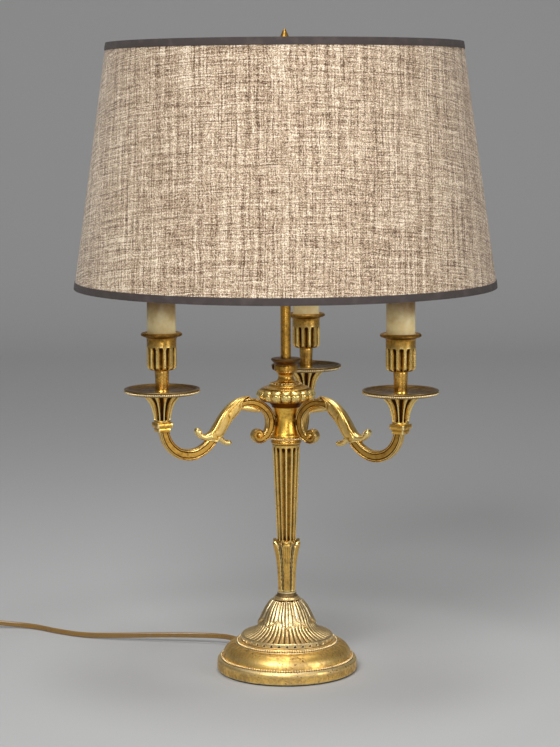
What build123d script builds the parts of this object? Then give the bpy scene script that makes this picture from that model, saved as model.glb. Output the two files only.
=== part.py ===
"""Bouillotte table lamp: a gilt brass stand with three scrolled candle arms under one linen drum shade.

Millimetres, +Z up. The origin is the centre of the underside of the base.
The shade hangs on a plain rod that slides and locks in the top of the stand.
"""
import os
from math import atan2, cos, hypot, pi, radians, sin, tan

from build123d import *

os.makedirs("parts", exist_ok=True)

# ---------------------------------------------------------------- sizes: base and column
felt_thickness = 1.5
felt_inset = 2.5
foot_radius = 67.5
foot_wall = 4.0
foot_side_height = 11.5
foot_edge_round = 1.0
foot_bead = 1.2
foot_bead_inset = 2.2
shoulder_height = 14.0
shoulder_top_radius = 54.4
shoulder_bulge = 2.4
shoulder_bulge_drop = 5.0
foot_neck_height = 3.0
foot_plate = 3.0
upper_bead_ledge = 3.9
bell_rim_radius = 44.3
bell_rim_height = 6.0
bell_rim_chamfer = 1.5
bell_height = 38.0
bell_waist_radius = 25.2
bell_flare = 5.6
bell_dome_bulge = 1.55
bell_top_radius = 14.0
bell_top_wall = 4.0
bell_wall = 3.0
collar_radius = 12.4
collar_height = 9.0
collar_ring_height = 5.0
collar_bulge = 1.0
collar_hollow = 1.2
calyx_stem_radius = 8.3
calyx_stem_height = 6.0
calyx_height = 50.0
calyx_top_radius = 14.3
calyx_lip = 1.0
calyx_hollow = 0.7
column_height = 90.0
column_foot_radius = 9.7
column_head_radius = 13.1
flute_count = 14
flute_radius_low = 1.5
flute_radius_high = 2.0
flute_land = 3.0
bead_collar_height = 11.0
bead_collar_radius = 14.3
bead_collar_floor = 4.0
bead_collar_bead = 2.3

# ---------------------------------------------------------------- sizes: tie rod that clamps the stack
tie_rod_radius = 5.0
tie_rod_bore = 3.6
tie_rod_clearance = 0.1
nut_across_flats = 14.0
base_nut_height = 6.0
top_nut_height = 4.0
washer_radius = 12.0
washer_thickness = 1.8
rod_overrun = 1.5

# ---------------------------------------------------------------- sizes: hub, cap, neck and clamp
hub_height = 32.0
hub_foot_radius = 14.5
hub_waist_radius = 11.5
hub_waist_height = 15.0
hub_head_radius = 20.3
hub_head_cavetto = 3.0
hub_head_band = 2.5
hub_head_slope = 1.5
hub_cavity_radius = 7.0
hub_spigot_radius = 8.9
hub_spigot_depth = 2.4
spigot_clearance = 0.05
cap_height = 19.0
cap_radius = 28.7
cap_lobe_count = 18
cap_groove_radius = 1.4
cap_ledge = 1.2
cap_fillet_height = 2.5
cap_rim_width = 6.2
cap_rim_slope = 0.6
cap_step_radius = 15.7
cap_step_height = 2.0
neck_height = 12.0
neck_spigot_radius = 8.0
neck_spigot_engagement = 5.0
neck_flange_radius = 12.5
neck_flange_height = 1.5
neck_waist_radius = 7.2
neck_head_radius = 9.5
neck_tube_radius = 6.8
clamp_height = 6.0
clamp_radius = 11.2
clamp_edge_round = 1.2
disc_height = 6.5
disc_radius = 14.0
disc_flare = 1.6
disc_edge = 1.2
disc_lip = 1.8
disc_hollow = 0.8
disc_clearance = 0.25

# ---------------------------------------------------------------- sizes: rod, lock screw and finial
shade_rod_radius = 4.9
shade_rod_clearance = 0.05
shade_rod_bottom = 250.0
shade_rod_chamfer = 0.8
rod_tip_radius = 3.0
rod_tip_length = 16.0
lock_screw_azimuth = 150.0
lock_screw_radius = 1.5
lock_screw_clearance = 0.05
lock_screw_head_radius = 2.9
lock_screw_head_length = 2.6
lock_screw_head_chamfer = 0.4
lock_screw_gap = 0.1
finial_height = 22.7
finial_radius = 8.0
finial_band_height = 3.5
finial_waist = 2.2
finial_waist_rise = 2.0
finial_cone_inset = 1.2
finial_cone_start = 8.0
finial_point_radius = 0.8
finial_bore_depth = 12.6
thrust_gap = 0.1

# ---------------------------------------------------------------- sizes: shade
shade_bottom_level = 371.7
shade_height = 228.5
shade_bottom_radius = 200.0
shade_top_radius = 167.2
trim_thickness = 0.6
trim_height = 6.8
fabric_thickness = 0.8
liner_thickness = 0.6
wire_radius = 1.6
wire_clearance = 0.1
spider_drop = 14.0
spider_hub_radius = 12.0
spider_hub_height = 4.0
spider_azimuths = (85.0, 205.0, 325.0)
spoke_bend_radius = 5.0
spoke_bend_inset = 9.0

# ---------------------------------------------------------------- sizes: arms
arm_azimuths = {"left": 205.0, "right": -34.0, "back": 80.5}
arm_reach = 127.0
arm_wide = 8.6
arm_thick = 10.0
arm_spigot_radius = 3.0
arm_spigot_clearance = 0.05
arm_spigot_rise = 17.0
arm_spigot_end = 8.0
arm_wire_bore = 1.9
arm_wire_radius = 1.5
wire_back = 19.9
wire_crest_drop = 2.0
wire_first_bend = 3.8
wire_second_bend = 12.0
scroll_back = 17.6
scroll_crest_rise = 35.0
scroll_foot_rise = -0.5
scroll_tip_reach = 31.0
crest_reach = 49.0
hollow_start = 41.0
hollow_rise = -11.6
scroll_foot_bend = 8.0
scroll_bend = 16.0
crest_bend = 28.0
hollow_bend = 30.0
rise_bend = 23.0
volute_radius = 7.2
volute_width = 9.6
volute_reach = 29.5
volute_rise = 3.3
leaf_width = 7.0
leaf_root_share = 0.6
upper_tip_reach = 24.3
upper_tip_rise = 9.5
upper_tip_thickness = 6.0
lower_tip_reach = 14.7
lower_tip_drop = 12.0
lower_tip_thickness = 5.0
arm_end_offset = 1.0
block_width = 14.0
block_height = 5.0
block_step_width = 12.0
block_step_height = 4.0
block_top_rise = 22.0

# ---------------------------------------------------------------- sizes: candle fittings
nipple_radius = 4.0
nipple_bore = 2.8
nipple_clearance = 0.05
nipple_depth = 6.5
candle_nut_across_flats = 13.0
candle_nut_height = 4.0
trumpet_height = 25.5
trumpet_foot_radius = 7.9
trumpet_head_radius = 15.0
trumpet_bulge = 1.6
pan_radius = 35.5
pan_centre_thickness = 3.0
pan_height = 6.5
pan_ledge = 1.0
pan_lip_inset = 1.2
pan_lip_rise = 2.2
pan_bead = 0.9
pan_rim_band = 1.2
pan_rim_round = 0.45
pan_rim_width = 1.6
pan_slope_width = 10.4
pan_slope_drop = 3.2
pan_slope_hollow = 0.8
stem_height = 20.5
stem_foot_radius = 5.75
stem_head_radius = 6.5
stem_flange_radius = 7.5
stem_flange_height = 1.3
stem_foot_height = 3.4
stem_head_height = 2.0
cup_radius = 13.9
cup_height = 35.5
cup_floor = 5.0
cup_cavity_radius = 10.5
cup_rim_radius = 19.1
cup_rim_height = 6.5
cup_rim_thickness = 2.6
cup_rim_round = 1.8
cup_foot_chamfer = 3.4
cup_flute_count = 12
cup_flute_radius = 2.0
cup_flute_height = 18.0
sleeve_radius = 13.35
sleeve_wall = 1.0
sleeve_height = 68.0
sleeve_seat_depth = 4.5
sleeve_clearance = 0.25
holder_radius = 11.9
holder_boss_radius = 9.0
holder_height = 60.0
holder_boss_height = 8.0
holder_bore_depth = 29.0

# ---------------------------------------------------------------- sizes: bulbs (candle bulb, 14 mm screw cap)
bulb_cap_radius = 7.0
bulb_cap_height = 20.0
bulb_cap_clearance = 0.1
bulb_contact_radius = 2.5
bulb_contact_height = 2.0
bulb_glass_radius = 17.5
bulb_glass_height = 80.0
bulb_glass_wall = 0.8
bulb_neck_radius = 6.0

# ---------------------------------------------------------------- sizes: cord, switch and plug
cord_radius = 2.7
bush_azimuth = 120.0
bush_level = 7.0
bush_shank_radius = 3.9
bush_clearance = 0.05
bush_flange_radius = 4.5
bush_flange_thickness = 1.6
bush_nose_length = 8.0
bush_flange_gap = 0.3
bush_tip_radius = 3.4
inner_lead_bend = 13.0
switch_length = 56.0
switch_width = 24.0
switch_height = 17.0
switch_wall = 2.0
switch_corner = 6.0
switch_edge_round = 2.0
rocker_length = 20.0
rocker_width = 10.0
rocker_gap = 0.6
rocker_pivot_drop = 2.0
rocker_proud = 2.2
rocker_crown = 0.6
rocker_taper = 0.8
rocker_skirt_drop = 2.0
rocker_depth = 5.0
rocker_throw = 7.0
rocker_pin_radius = 1.0
rocker_pin_clearance = 0.05
plug_length = 36.0
plug_width = 33.0
plug_height = 13.6
plug_neck_width = 12.0
plug_corner_round = 2.4
plug_edge_round = 1.6
plug_pin_radius = 2.0
plug_pin_length = 19.0
plug_pin_spacing = 18.6
plug_pin_seat = 8.0
coil_centre = (-385.6, 100.0)
coil_middle_radius = 32.4
coil_turns_across = 3
coil_layers = 2
tie_thickness = 0.5
tie_width = 7.0
tie_azimuth = 20.0
tie_clearance = 0.1
coil_overlap = 12.0
cord_floor_gap = 0.1
tie_slack = 0.9

# ---------------------------------------------------------------- levels, worked out upwards
felt_top = felt_thickness
foot_side_top = felt_top + foot_side_height
shoulder_top = foot_side_top + shoulder_height
foot_top = shoulder_top + foot_neck_height
bell_top = foot_top + bell_height
collar_top = bell_top + collar_height
calyx_top = collar_top + calyx_height
column_top = calyx_top + column_height
bead_collar_top = column_top + bead_collar_height
hub_top = bead_collar_top + hub_height
cap_top = hub_top + cap_height
neck_top = cap_top + neck_height
clamp_top = neck_top + clamp_height
disc_top = clamp_top + disc_height
shade_top_level = shade_bottom_level + shade_height
spider_level = shade_top_level - spider_drop
spider_top = spider_level + spider_hub_height
block_top = bead_collar_top + block_top_rise
block_bottom = block_top - block_height - block_step_height
trumpet_top = block_top + trumpet_height
pan_top = trumpet_top + pan_centre_thickness
stem_top = pan_top + stem_height
cup_top = stem_top + cup_height
sleeve_seat = cup_top - sleeve_seat_depth
holder_level = sleeve_seat + holder_boss_height / 2
holder_top = holder_level + holder_height
bulb_level = holder_top - bulb_cap_height

rod_hole = tie_rod_radius + tie_rod_clearance
nipple_hole = nipple_radius + nipple_clearance
cavity_radius = hub_spigot_radius + spigot_clearance
neck_hole = neck_spigot_radius + spigot_clearance
cord_diameter = 2 * cord_radius


def post(x=0.0, y=0.0):
    """The vertical axis that a turned piece is turned about."""
    return Axis((x, y, 0), (0, 0, 1))


def half_section(x=0.0, y=0.0):
    """The upright plane for half the section of a piece turned about post(x, y)."""
    return Plane(origin=(x, y, 0), x_dir=(1, 0, 0), z_dir=(0, -1, 0))


def radial_plane(azimuth):
    """The upright plane through the stand's axis, with x outwards and y up."""
    a = radians(azimuth)
    return Plane(origin=(0, 0, 0), x_dir=(cos(a), sin(a), 0), z_dir=(sin(a), -cos(a), 0))


def radial_point(radius, azimuth, level):
    """A point at a radius and azimuth from the stand's axis."""
    a = radians(azimuth)
    return (radius * cos(a), radius * sin(a), level)


def save(builder, name):
    """Label a finished piece and write it."""
    builder.part.label = name
    export_step(builder.part, f"parts/{name}.step")


# ---------------------------------------------------------------- base
with BuildPart() as felt_pad:
    Cylinder(foot_radius - felt_inset, felt_thickness, align=(Align.CENTER, Align.CENTER, Align.MIN))

bead_base = foot_radius - foot_bead_inset
upper_bead_base = bell_rim_radius + upper_bead_ledge
with BuildPart() as base_foot:
    with BuildSketch(half_section()):
        with BuildLine():
            Polyline((foot_radius - foot_wall, felt_top), (foot_radius, felt_top),
                     (foot_radius, foot_side_top - foot_edge_round),
                     (foot_radius - foot_edge_round, foot_side_top), (bead_base, foot_side_top))
            ThreePointArc((bead_base, foot_side_top), (bead_base + foot_bead, foot_side_top + foot_bead),
                          (bead_base, foot_side_top + 2 * foot_bead))
            ThreePointArc((bead_base, foot_side_top + 2 * foot_bead),
                          ((bead_base + shoulder_top_radius) / 2 + shoulder_bulge,
                           shoulder_top - shoulder_bulge_drop),
                          (shoulder_top_radius, shoulder_top))
            Line((shoulder_top_radius, shoulder_top), (upper_bead_base, foot_top - 2 * foot_bead))
            ThreePointArc((upper_bead_base, foot_top - 2 * foot_bead),
                          (upper_bead_base + foot_bead, foot_top - foot_bead), (upper_bead_base, foot_top))
            Polyline((upper_bead_base, foot_top), (rod_hole, foot_top), (rod_hole, foot_top - foot_plate),
                     (upper_bead_base - foot_wall, foot_top - foot_plate),
                     (shoulder_top_radius - foot_wall, shoulder_top - foot_wall),
                     (foot_radius - 2 * foot_wall, foot_side_top + foot_edge_round),
                     (foot_radius - foot_wall, foot_side_top - foot_edge_round),
                     (foot_radius - foot_wall, felt_top))
        make_face()
    revolve(axis=post())
    with BuildSketch(Plane(origin=radial_point(foot_radius + foot_wall, bush_azimuth, bush_level),
                           z_dir=radial_point(-1, bush_azimuth, 0))):
        Circle(bush_shank_radius + bush_clearance)
    extrude(amount=2.5 * foot_wall, mode=Mode.SUBTRACT)

with BuildPart() as base_bell:
    with BuildSketch(half_section()):
        with BuildLine():
            rim_top = foot_top + bell_rim_height
            waist = foot_top + bell_height * 0.45
            Polyline((bell_rim_radius - bell_wall, foot_top), (bell_rim_radius, foot_top),
                     (bell_rim_radius, rim_top - bell_rim_chamfer), (bell_rim_radius - bell_rim_chamfer, rim_top))
            ThreePointArc((bell_rim_radius - bell_rim_chamfer, rim_top),
                          (bell_waist_radius + bell_flare, rim_top + (waist - rim_top) * 0.34),
                          (bell_waist_radius, waist))
            ThreePointArc((bell_waist_radius, waist),
                          ((bell_waist_radius + bell_top_radius) / 2 + bell_dome_bulge,
                           (waist + bell_top) / 2 + bell_dome_bulge),
                          (bell_top_radius, bell_top))
            Polyline((bell_top_radius, bell_top), (rod_hole, bell_top), (rod_hole, bell_top - bell_top_wall),
                     (bell_top_radius - bell_wall, bell_top - bell_top_wall),
                     (bell_waist_radius - bell_wall - bell_top_wall, (waist + bell_top) / 2),
                     (bell_waist_radius - bell_wall, waist - bell_wall / 3),
                     (bell_waist_radius + bell_wall, rim_top + bell_wall / 6),
                     (bell_rim_radius - bell_wall, rim_top - bell_wall),
                     (bell_rim_radius - bell_wall, foot_top))
        make_face()
    revolve(axis=post())

with BuildPart() as bell_collar:
    with BuildSketch(half_section()):
        with BuildLine():
            ring_top = bell_top + collar_ring_height
            Polyline((rod_hole, bell_top), (collar_radius, bell_top))
            ThreePointArc((collar_radius, bell_top),
                          (collar_radius + collar_bulge, bell_top + collar_ring_height / 2),
                          (collar_radius, ring_top))
            ThreePointArc((collar_radius, ring_top),
                          (calyx_stem_radius + collar_hollow, ring_top + collar_hollow),
                          (calyx_stem_radius, collar_top))
            Polyline((calyx_stem_radius, collar_top), (rod_hole, collar_top), (rod_hole, bell_top))
        make_face()
    revolve(axis=post())

# ---------------------------------------------------------------- column
with BuildPart() as leaf_calyx:
    with BuildSketch(half_section()):
        with BuildLine():
            stem_end = collar_top + calyx_stem_height
            Polyline((rod_hole, collar_top), (calyx_stem_radius, collar_top), (calyx_stem_radius, stem_end))
            ThreePointArc((calyx_stem_radius, stem_end),
                          ((calyx_stem_radius + calyx_top_radius) / 2 - calyx_hollow, (stem_end + calyx_top) / 2),
                          (calyx_top_radius, calyx_top - calyx_lip))
            Polyline((calyx_top_radius, calyx_top - calyx_lip), (calyx_top_radius, calyx_top), (rod_hole, calyx_top),
                     (rod_hole, collar_top))
        make_face()
    revolve(axis=post())

with BuildPart() as flute:
    with BuildSketch(Plane.XY.offset(calyx_top + flute_land)):
        with Locations((column_foot_radius + flute_radius_low * 0.3, 0)):
            Circle(flute_radius_low)
    with BuildSketch(Plane.XY.offset(column_top - flute_land)):
        with Locations((column_head_radius + flute_radius_high * 0.3, 0)):
            Circle(flute_radius_high)
    loft()

with BuildPart() as fluted_column:
    with BuildSketch(half_section()):
        Polygon((rod_hole, calyx_top), (column_foot_radius, calyx_top), (column_head_radius, column_top),
                (rod_hole, column_top), align=None)
    revolve(axis=post())
    with PolarLocations(0, flute_count):
        add(flute.part, mode=Mode.SUBTRACT)

with BuildPart() as bead_collar:
    with BuildSketch(half_section()):
        with BuildLine():
            floor = column_top + bead_collar_floor
            bead_end = floor + 2 * bead_collar_bead
            Polyline((rod_hole, column_top), (bead_collar_radius, column_top), (bead_collar_radius, floor))
            ThreePointArc((bead_collar_radius, floor),
                          (bead_collar_radius + bead_collar_bead, floor + bead_collar_bead),
                          (bead_collar_radius, bead_end))
            Polyline((bead_collar_radius, bead_end), (hub_foot_radius, bead_collar_top),
                     (cavity_radius, bead_collar_top), (cavity_radius, floor), (rod_hole, floor),
                     (rod_hole, column_top))
        make_face()
    revolve(axis=post())

# ---------------------------------------------------------------- tie rod, washer and nuts
plate_bottom = foot_top - foot_plate
washer_bottom = plate_bottom - washer_thickness
base_nut_bottom = washer_bottom - base_nut_height
top_nut_bottom = column_top + bead_collar_floor
tie_rod_bottom = base_nut_bottom - rod_overrun
tie_rod_top = top_nut_bottom + top_nut_height + rod_overrun / 2

with BuildPart() as tie_rod:
    with BuildSketch(Plane.XY.offset(tie_rod_bottom)):
        Circle(tie_rod_radius)
        Circle(tie_rod_bore, mode=Mode.SUBTRACT)
    extrude(amount=tie_rod_top - tie_rod_bottom)

with BuildPart() as base_washer:
    with BuildSketch(Plane.XY.offset(washer_bottom)):
        Circle(washer_radius)
        Circle(rod_hole, mode=Mode.SUBTRACT)
    extrude(amount=washer_thickness)

with BuildPart() as tie_rod_nuts:
    for nut_bottom, nut_height in ((base_nut_bottom, base_nut_height), (top_nut_bottom, top_nut_height)):
        with BuildSketch(Plane.XY.offset(nut_bottom)):
            RegularPolygon(nut_across_flats / 2, 6, major_radius=False)
            Circle(tie_rod_radius, mode=Mode.SUBTRACT)
        extrude(amount=nut_height)

# ---------------------------------------------------------------- hub, gadrooned cap, neck and clamp
spigot_level = bead_collar_top + arm_spigot_rise
hub_spigot_bottom = bead_collar_top - hub_spigot_depth
neck_spigot_bottom = hub_top - neck_spigot_engagement
with BuildPart() as hub_blank:
    with BuildSketch(half_section()):
        with BuildLine():
            Line((0, bead_collar_top), (hub_foot_radius, bead_collar_top))
            ThreePointArc((hub_foot_radius, bead_collar_top),
                          (hub_waist_radius, bead_collar_top + hub_waist_height),
                          (hub_head_radius - hub_head_cavetto, hub_top - hub_head_band - hub_head_slope))
            Polyline((hub_head_radius - hub_head_cavetto, hub_top - hub_head_band - hub_head_slope),
                     (hub_head_radius, hub_top - hub_head_band),
                     (hub_head_radius, hub_top), (0, hub_top), (0, bead_collar_top))
        make_face()
    revolve(axis=post())

with BuildPart() as hub_body:
    add(hub_blank.part)
    with BuildSketch(Plane.XY.offset(hub_spigot_bottom)):
        Circle(hub_spigot_radius)
    extrude(amount=hub_spigot_depth)
    with BuildSketch(Plane.XY.offset(hub_spigot_bottom)):
        Circle(hub_cavity_radius)
    extrude(amount=hub_top - hub_spigot_bottom, mode=Mode.SUBTRACT)
    with BuildSketch(Plane.XY.offset(neck_spigot_bottom)):
        Circle(neck_hole)
    extrude(amount=neck_spigot_engagement, mode=Mode.SUBTRACT)
    for azimuth in arm_azimuths.values():
        with BuildSketch(Plane(origin=(0, 0, spigot_level), z_dir=radial_point(1, azimuth, 0))):
            Circle(arm_spigot_radius + arm_spigot_clearance)
        extrude(amount=hub_head_radius, mode=Mode.SUBTRACT)

cap_middle = hub_top + (cap_top - hub_top) * 0.45
lobe_top = cap_top - cap_step_height - cap_fillet_height
with BuildPart() as cap_groove:
    with BuildLine(Plane.XZ):
        groove_line = ThreePointArc((hub_head_radius + cap_groove_radius, hub_top + cap_groove_radius / 3),
                                    (cap_radius + cap_groove_radius / 3, cap_middle),
                                    (cap_step_radius + cap_rim_width + cap_groove_radius / 3,
                                     lobe_top + cap_groove_radius / 3))
    with BuildSketch(Plane(origin=groove_line @ 0, z_dir=groove_line % 0)):
        Circle(cap_groove_radius)
    sweep()

with BuildPart() as cap_blank:
    with BuildSketch(half_section()):
        with BuildLine():
            Polyline((neck_hole, hub_top), (hub_head_radius + cap_ledge, hub_top))
            ThreePointArc((hub_head_radius + cap_ledge, hub_top), (cap_radius, cap_middle),
                          (cap_step_radius + cap_rim_width, lobe_top))
            Polyline((cap_step_radius + cap_rim_width, lobe_top),
                     (cap_step_radius + cap_rim_width - cap_rim_slope, lobe_top + 2 * cap_rim_slope),
                     (cap_step_radius, cap_top - cap_step_height), (cap_step_radius, cap_top),
                     (neck_hole, cap_top), (neck_hole, hub_top))
        make_face()
    revolve(axis=post())

with BuildPart() as gadroon_cap:
    add(cap_blank.part)
    with PolarLocations(0, cap_lobe_count):
        add(cap_groove.part, mode=Mode.SUBTRACT)

rod_bore = shade_rod_radius + shade_rod_clearance
with BuildPart() as neck_spool:
    with BuildSketch(half_section()):
        with BuildLine():
            Polyline((rod_bore, neck_spigot_bottom), (neck_spigot_radius, neck_spigot_bottom),
                     (neck_spigot_radius, cap_top), (neck_flange_radius, cap_top),
                     (neck_flange_radius, cap_top + neck_flange_height))
            ThreePointArc((neck_flange_radius, cap_top + neck_flange_height),
                          (neck_waist_radius, (cap_top + neck_top) / 2), (neck_head_radius, neck_top))
            Polyline((neck_head_radius, neck_top), (neck_tube_radius, neck_top),
                     (neck_tube_radius, clamp_top), (rod_bore, clamp_top), (rod_bore, neck_spigot_bottom))
        make_face()
    revolve(axis=post())

lock_level = (neck_top + clamp_top) / 2
lock_plane = Plane(origin=(0, 0, lock_level), z_dir=radial_point(1, lock_screw_azimuth, 0))
with BuildPart() as lock_hole:
    with BuildSketch(lock_plane):
        Circle(lock_screw_radius + lock_screw_clearance)
    extrude(amount=2 * clamp_radius)

with BuildPart() as neck_spool_bored:
    add(neck_spool.part)
    add(lock_hole.part, mode=Mode.SUBTRACT)

with BuildPart() as clamp_collar:
    with BuildSketch(Plane.XY.offset(neck_top)):
        Circle(clamp_radius)
        Circle(neck_tube_radius + spigot_clearance, mode=Mode.SUBTRACT)
    extrude(amount=clamp_height)
    fillet(clamp_collar.edges().filter_by(GeomType.CIRCLE).sort_by(SortBy.RADIUS)[-2:], clamp_edge_round)
    add(lock_hole.part, mode=Mode.SUBTRACT)

with BuildPart() as cover_disc:
    with BuildSketch(half_section()):
        with BuildLine():
            inner = shade_rod_radius + disc_clearance
            edge_top = clamp_top + disc_flare + disc_edge
            Polyline((inner, clamp_top), (clamp_radius - clamp_edge_round, clamp_top),
                     (disc_radius, clamp_top + disc_flare), (disc_radius, edge_top))
            ThreePointArc((disc_radius, edge_top), ((disc_radius + inner) / 2 - disc_hollow, edge_top + disc_edge),
                          (inner + disc_lip, disc_top))
            Polyline((inner + disc_lip, disc_top), (inner, disc_top), (inner, clamp_top))
        make_face()
    revolve(axis=post())

head_start = clamp_radius + lock_screw_gap
with BuildPart() as lock_screw:
    with BuildSketch(lock_plane.offset(shade_rod_radius + lock_screw_gap)):
        Circle(lock_screw_radius)
    extrude(amount=head_start - shade_rod_radius - lock_screw_gap)
    with BuildSketch(lock_plane.offset(head_start)):
        Circle(lock_screw_head_radius)
    extrude(amount=lock_screw_head_length)
    chamfer(lock_screw.edges().filter_by(GeomType.CIRCLE).sort_by(SortBy.RADIUS)[-2:], lock_screw_head_chamfer)

# ---------------------------------------------------------------- shade rod and finial
with BuildPart() as shade_rod:
    with BuildSketch(Plane.XY.offset(shade_rod_bottom)):
        Circle(shade_rod_radius)
    extrude(amount=spider_level - thrust_gap - shade_rod_bottom)
    chamfer(shade_rod.edges().sort_by(Axis.Z)[:1], shade_rod_chamfer)
    with BuildSketch(Plane.XY.offset(spider_level - thrust_gap)):
        Circle(rod_tip_radius)
    extrude(amount=rod_tip_length + thrust_gap)

finial_bottom = spider_top + thrust_gap
with BuildPart() as finial:
    with BuildSketch(half_section()):
        with BuildLine():
            Polyline((rod_tip_radius + spigot_clearance, finial_bottom), (finial_radius, finial_bottom),
                     (finial_radius, finial_bottom + finial_band_height))
            cone_foot = (finial_radius - finial_cone_inset, finial_bottom + finial_cone_start)
            ThreePointArc((finial_radius, finial_bottom + finial_band_height),
                          (finial_radius - finial_waist, finial_bottom + finial_band_height + finial_waist_rise),
                          cone_foot)
            Polyline(cone_foot, (finial_point_radius, finial_bottom + finial_height - finial_point_radius / 2),
                     (0, finial_bottom + finial_height), (0, finial_bottom + finial_bore_depth),
                     (rod_tip_radius + spigot_clearance, finial_bottom + finial_bore_depth),
                     (rod_tip_radius + spigot_clearance, finial_bottom))
        make_face()
    revolve(axis=post())

# ---------------------------------------------------------------- shade
shade_slope = (shade_bottom_radius - shade_top_radius) / shade_height


def shade_radius(level, inwards=0.0):
    """The shade's outside radius at a level, less a distance inwards."""
    return shade_bottom_radius - (level - shade_bottom_level) * shade_slope - inwards


def cone_shell(low, high, outer_inset, inner_inset):
    """The section of a conical wall between two levels."""
    return Polygon((shade_radius(low, outer_inset), low), (shade_radius(high, outer_inset), high),
                   (shade_radius(high, inner_inset), high), (shade_radius(low, inner_inset), low), align=None)


skin_low = shade_bottom_level + trim_thickness
skin_high = shade_top_level - trim_thickness
liner_outside = trim_thickness + fabric_thickness
liner_inside = liner_outside + liner_thickness

with BuildPart() as shade_fabric:
    with BuildSketch(half_section()):
        cone_shell(skin_low, skin_high, trim_thickness, liner_outside)
    revolve(axis=post())

with BuildPart() as shade_liner:
    with BuildSketch(half_section()):
        cone_shell(skin_low, skin_high, liner_outside, liner_inside)
    revolve(axis=post())

with BuildPart() as shade_trim_bottom:
    with BuildSketch(half_section()):
        cone_shell(shade_bottom_level, shade_bottom_level + trim_height, 0, trim_thickness)
        cone_shell(shade_bottom_level, skin_low, 0, liner_inside)
    revolve(axis=post())

with BuildPart() as shade_trim_top:
    with BuildSketch(half_section()):
        cone_shell(shade_top_level - trim_height, shade_top_level, 0, trim_thickness)
        cone_shell(skin_high, shade_top_level, 0, liner_inside)
    revolve(axis=post())

wire_low = skin_low + wire_radius
wire_high = skin_high - wire_radius
wire_low_radius = shade_radius(wire_low, liner_inside) - wire_radius - wire_clearance
wire_high_radius = shade_radius(wire_high, liner_inside) - wire_radius - wire_clearance
with BuildPart() as shade_ring_bottom:
    with BuildSketch(half_section()):
        with Locations((wire_low_radius, wire_low)):
            Circle(wire_radius)
    revolve(axis=post())

spoke_level = spider_level + spider_hub_height / 2
with BuildPart() as shade_spider:
    with BuildSketch(half_section()):
        with Locations((wire_high_radius, wire_high)):
            Circle(wire_radius)
    revolve(axis=post())
    for azimuth in spider_azimuths:
        with BuildLine(radial_plane(azimuth)):
            spoke = FilletPolyline((spider_hub_radius - spoke_bend_radius, spoke_level),
                                   (wire_high_radius - spoke_bend_inset, spoke_level),
                                   (wire_high_radius, wire_high), radius=spoke_bend_radius)
        with BuildSketch(Plane(origin=spoke @ 0, z_dir=spoke % 0)):
            Circle(wire_radius)
        sweep(path=spoke)
    with BuildSketch(Plane.XY.offset(spider_level)):
        Circle(spider_hub_radius)
    extrude(amount=spider_hub_height)
    with BuildSketch(Plane.XY.offset(spider_level)):
        Circle(rod_tip_radius + spigot_clearance)
    extrude(amount=spider_hub_height, mode=Mode.SUBTRACT)

# ---------------------------------------------------------------- arms
arm_base = bead_collar_top
rise_reach = arm_reach - arm_end_offset
crest_level = arm_base + scroll_crest_rise
hollow_level = arm_base + hollow_rise
scroll_foot = arm_base + scroll_foot_rise
leaf_root_reach = crest_reach + (arm_reach - hollow_start - crest_reach) * leaf_root_share
leaf_root_level = crest_level + (hollow_level - crest_level) * leaf_root_share


def leaf_tip(reach, rise, thickness):
    """The outline of a curled leaf tip, which grows out of the middle of the S and hooks round to one side."""
    outline = ((0.0, -0.5, 0.0), (0.5, -0.5, 0.0), (0.85, -0.2, 0.0), (1.0, 0.0, 0.4), (0.9, 0.0, 1.0),
               (0.7, 0.0, 0.45), (0.4, 0.45, 0.0), (0.0, 0.7, 0.0))
    return [(leaf_root_reach + along * reach, leaf_root_level + across * thickness + up * rise)
            for along, across, up in outline]


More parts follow.
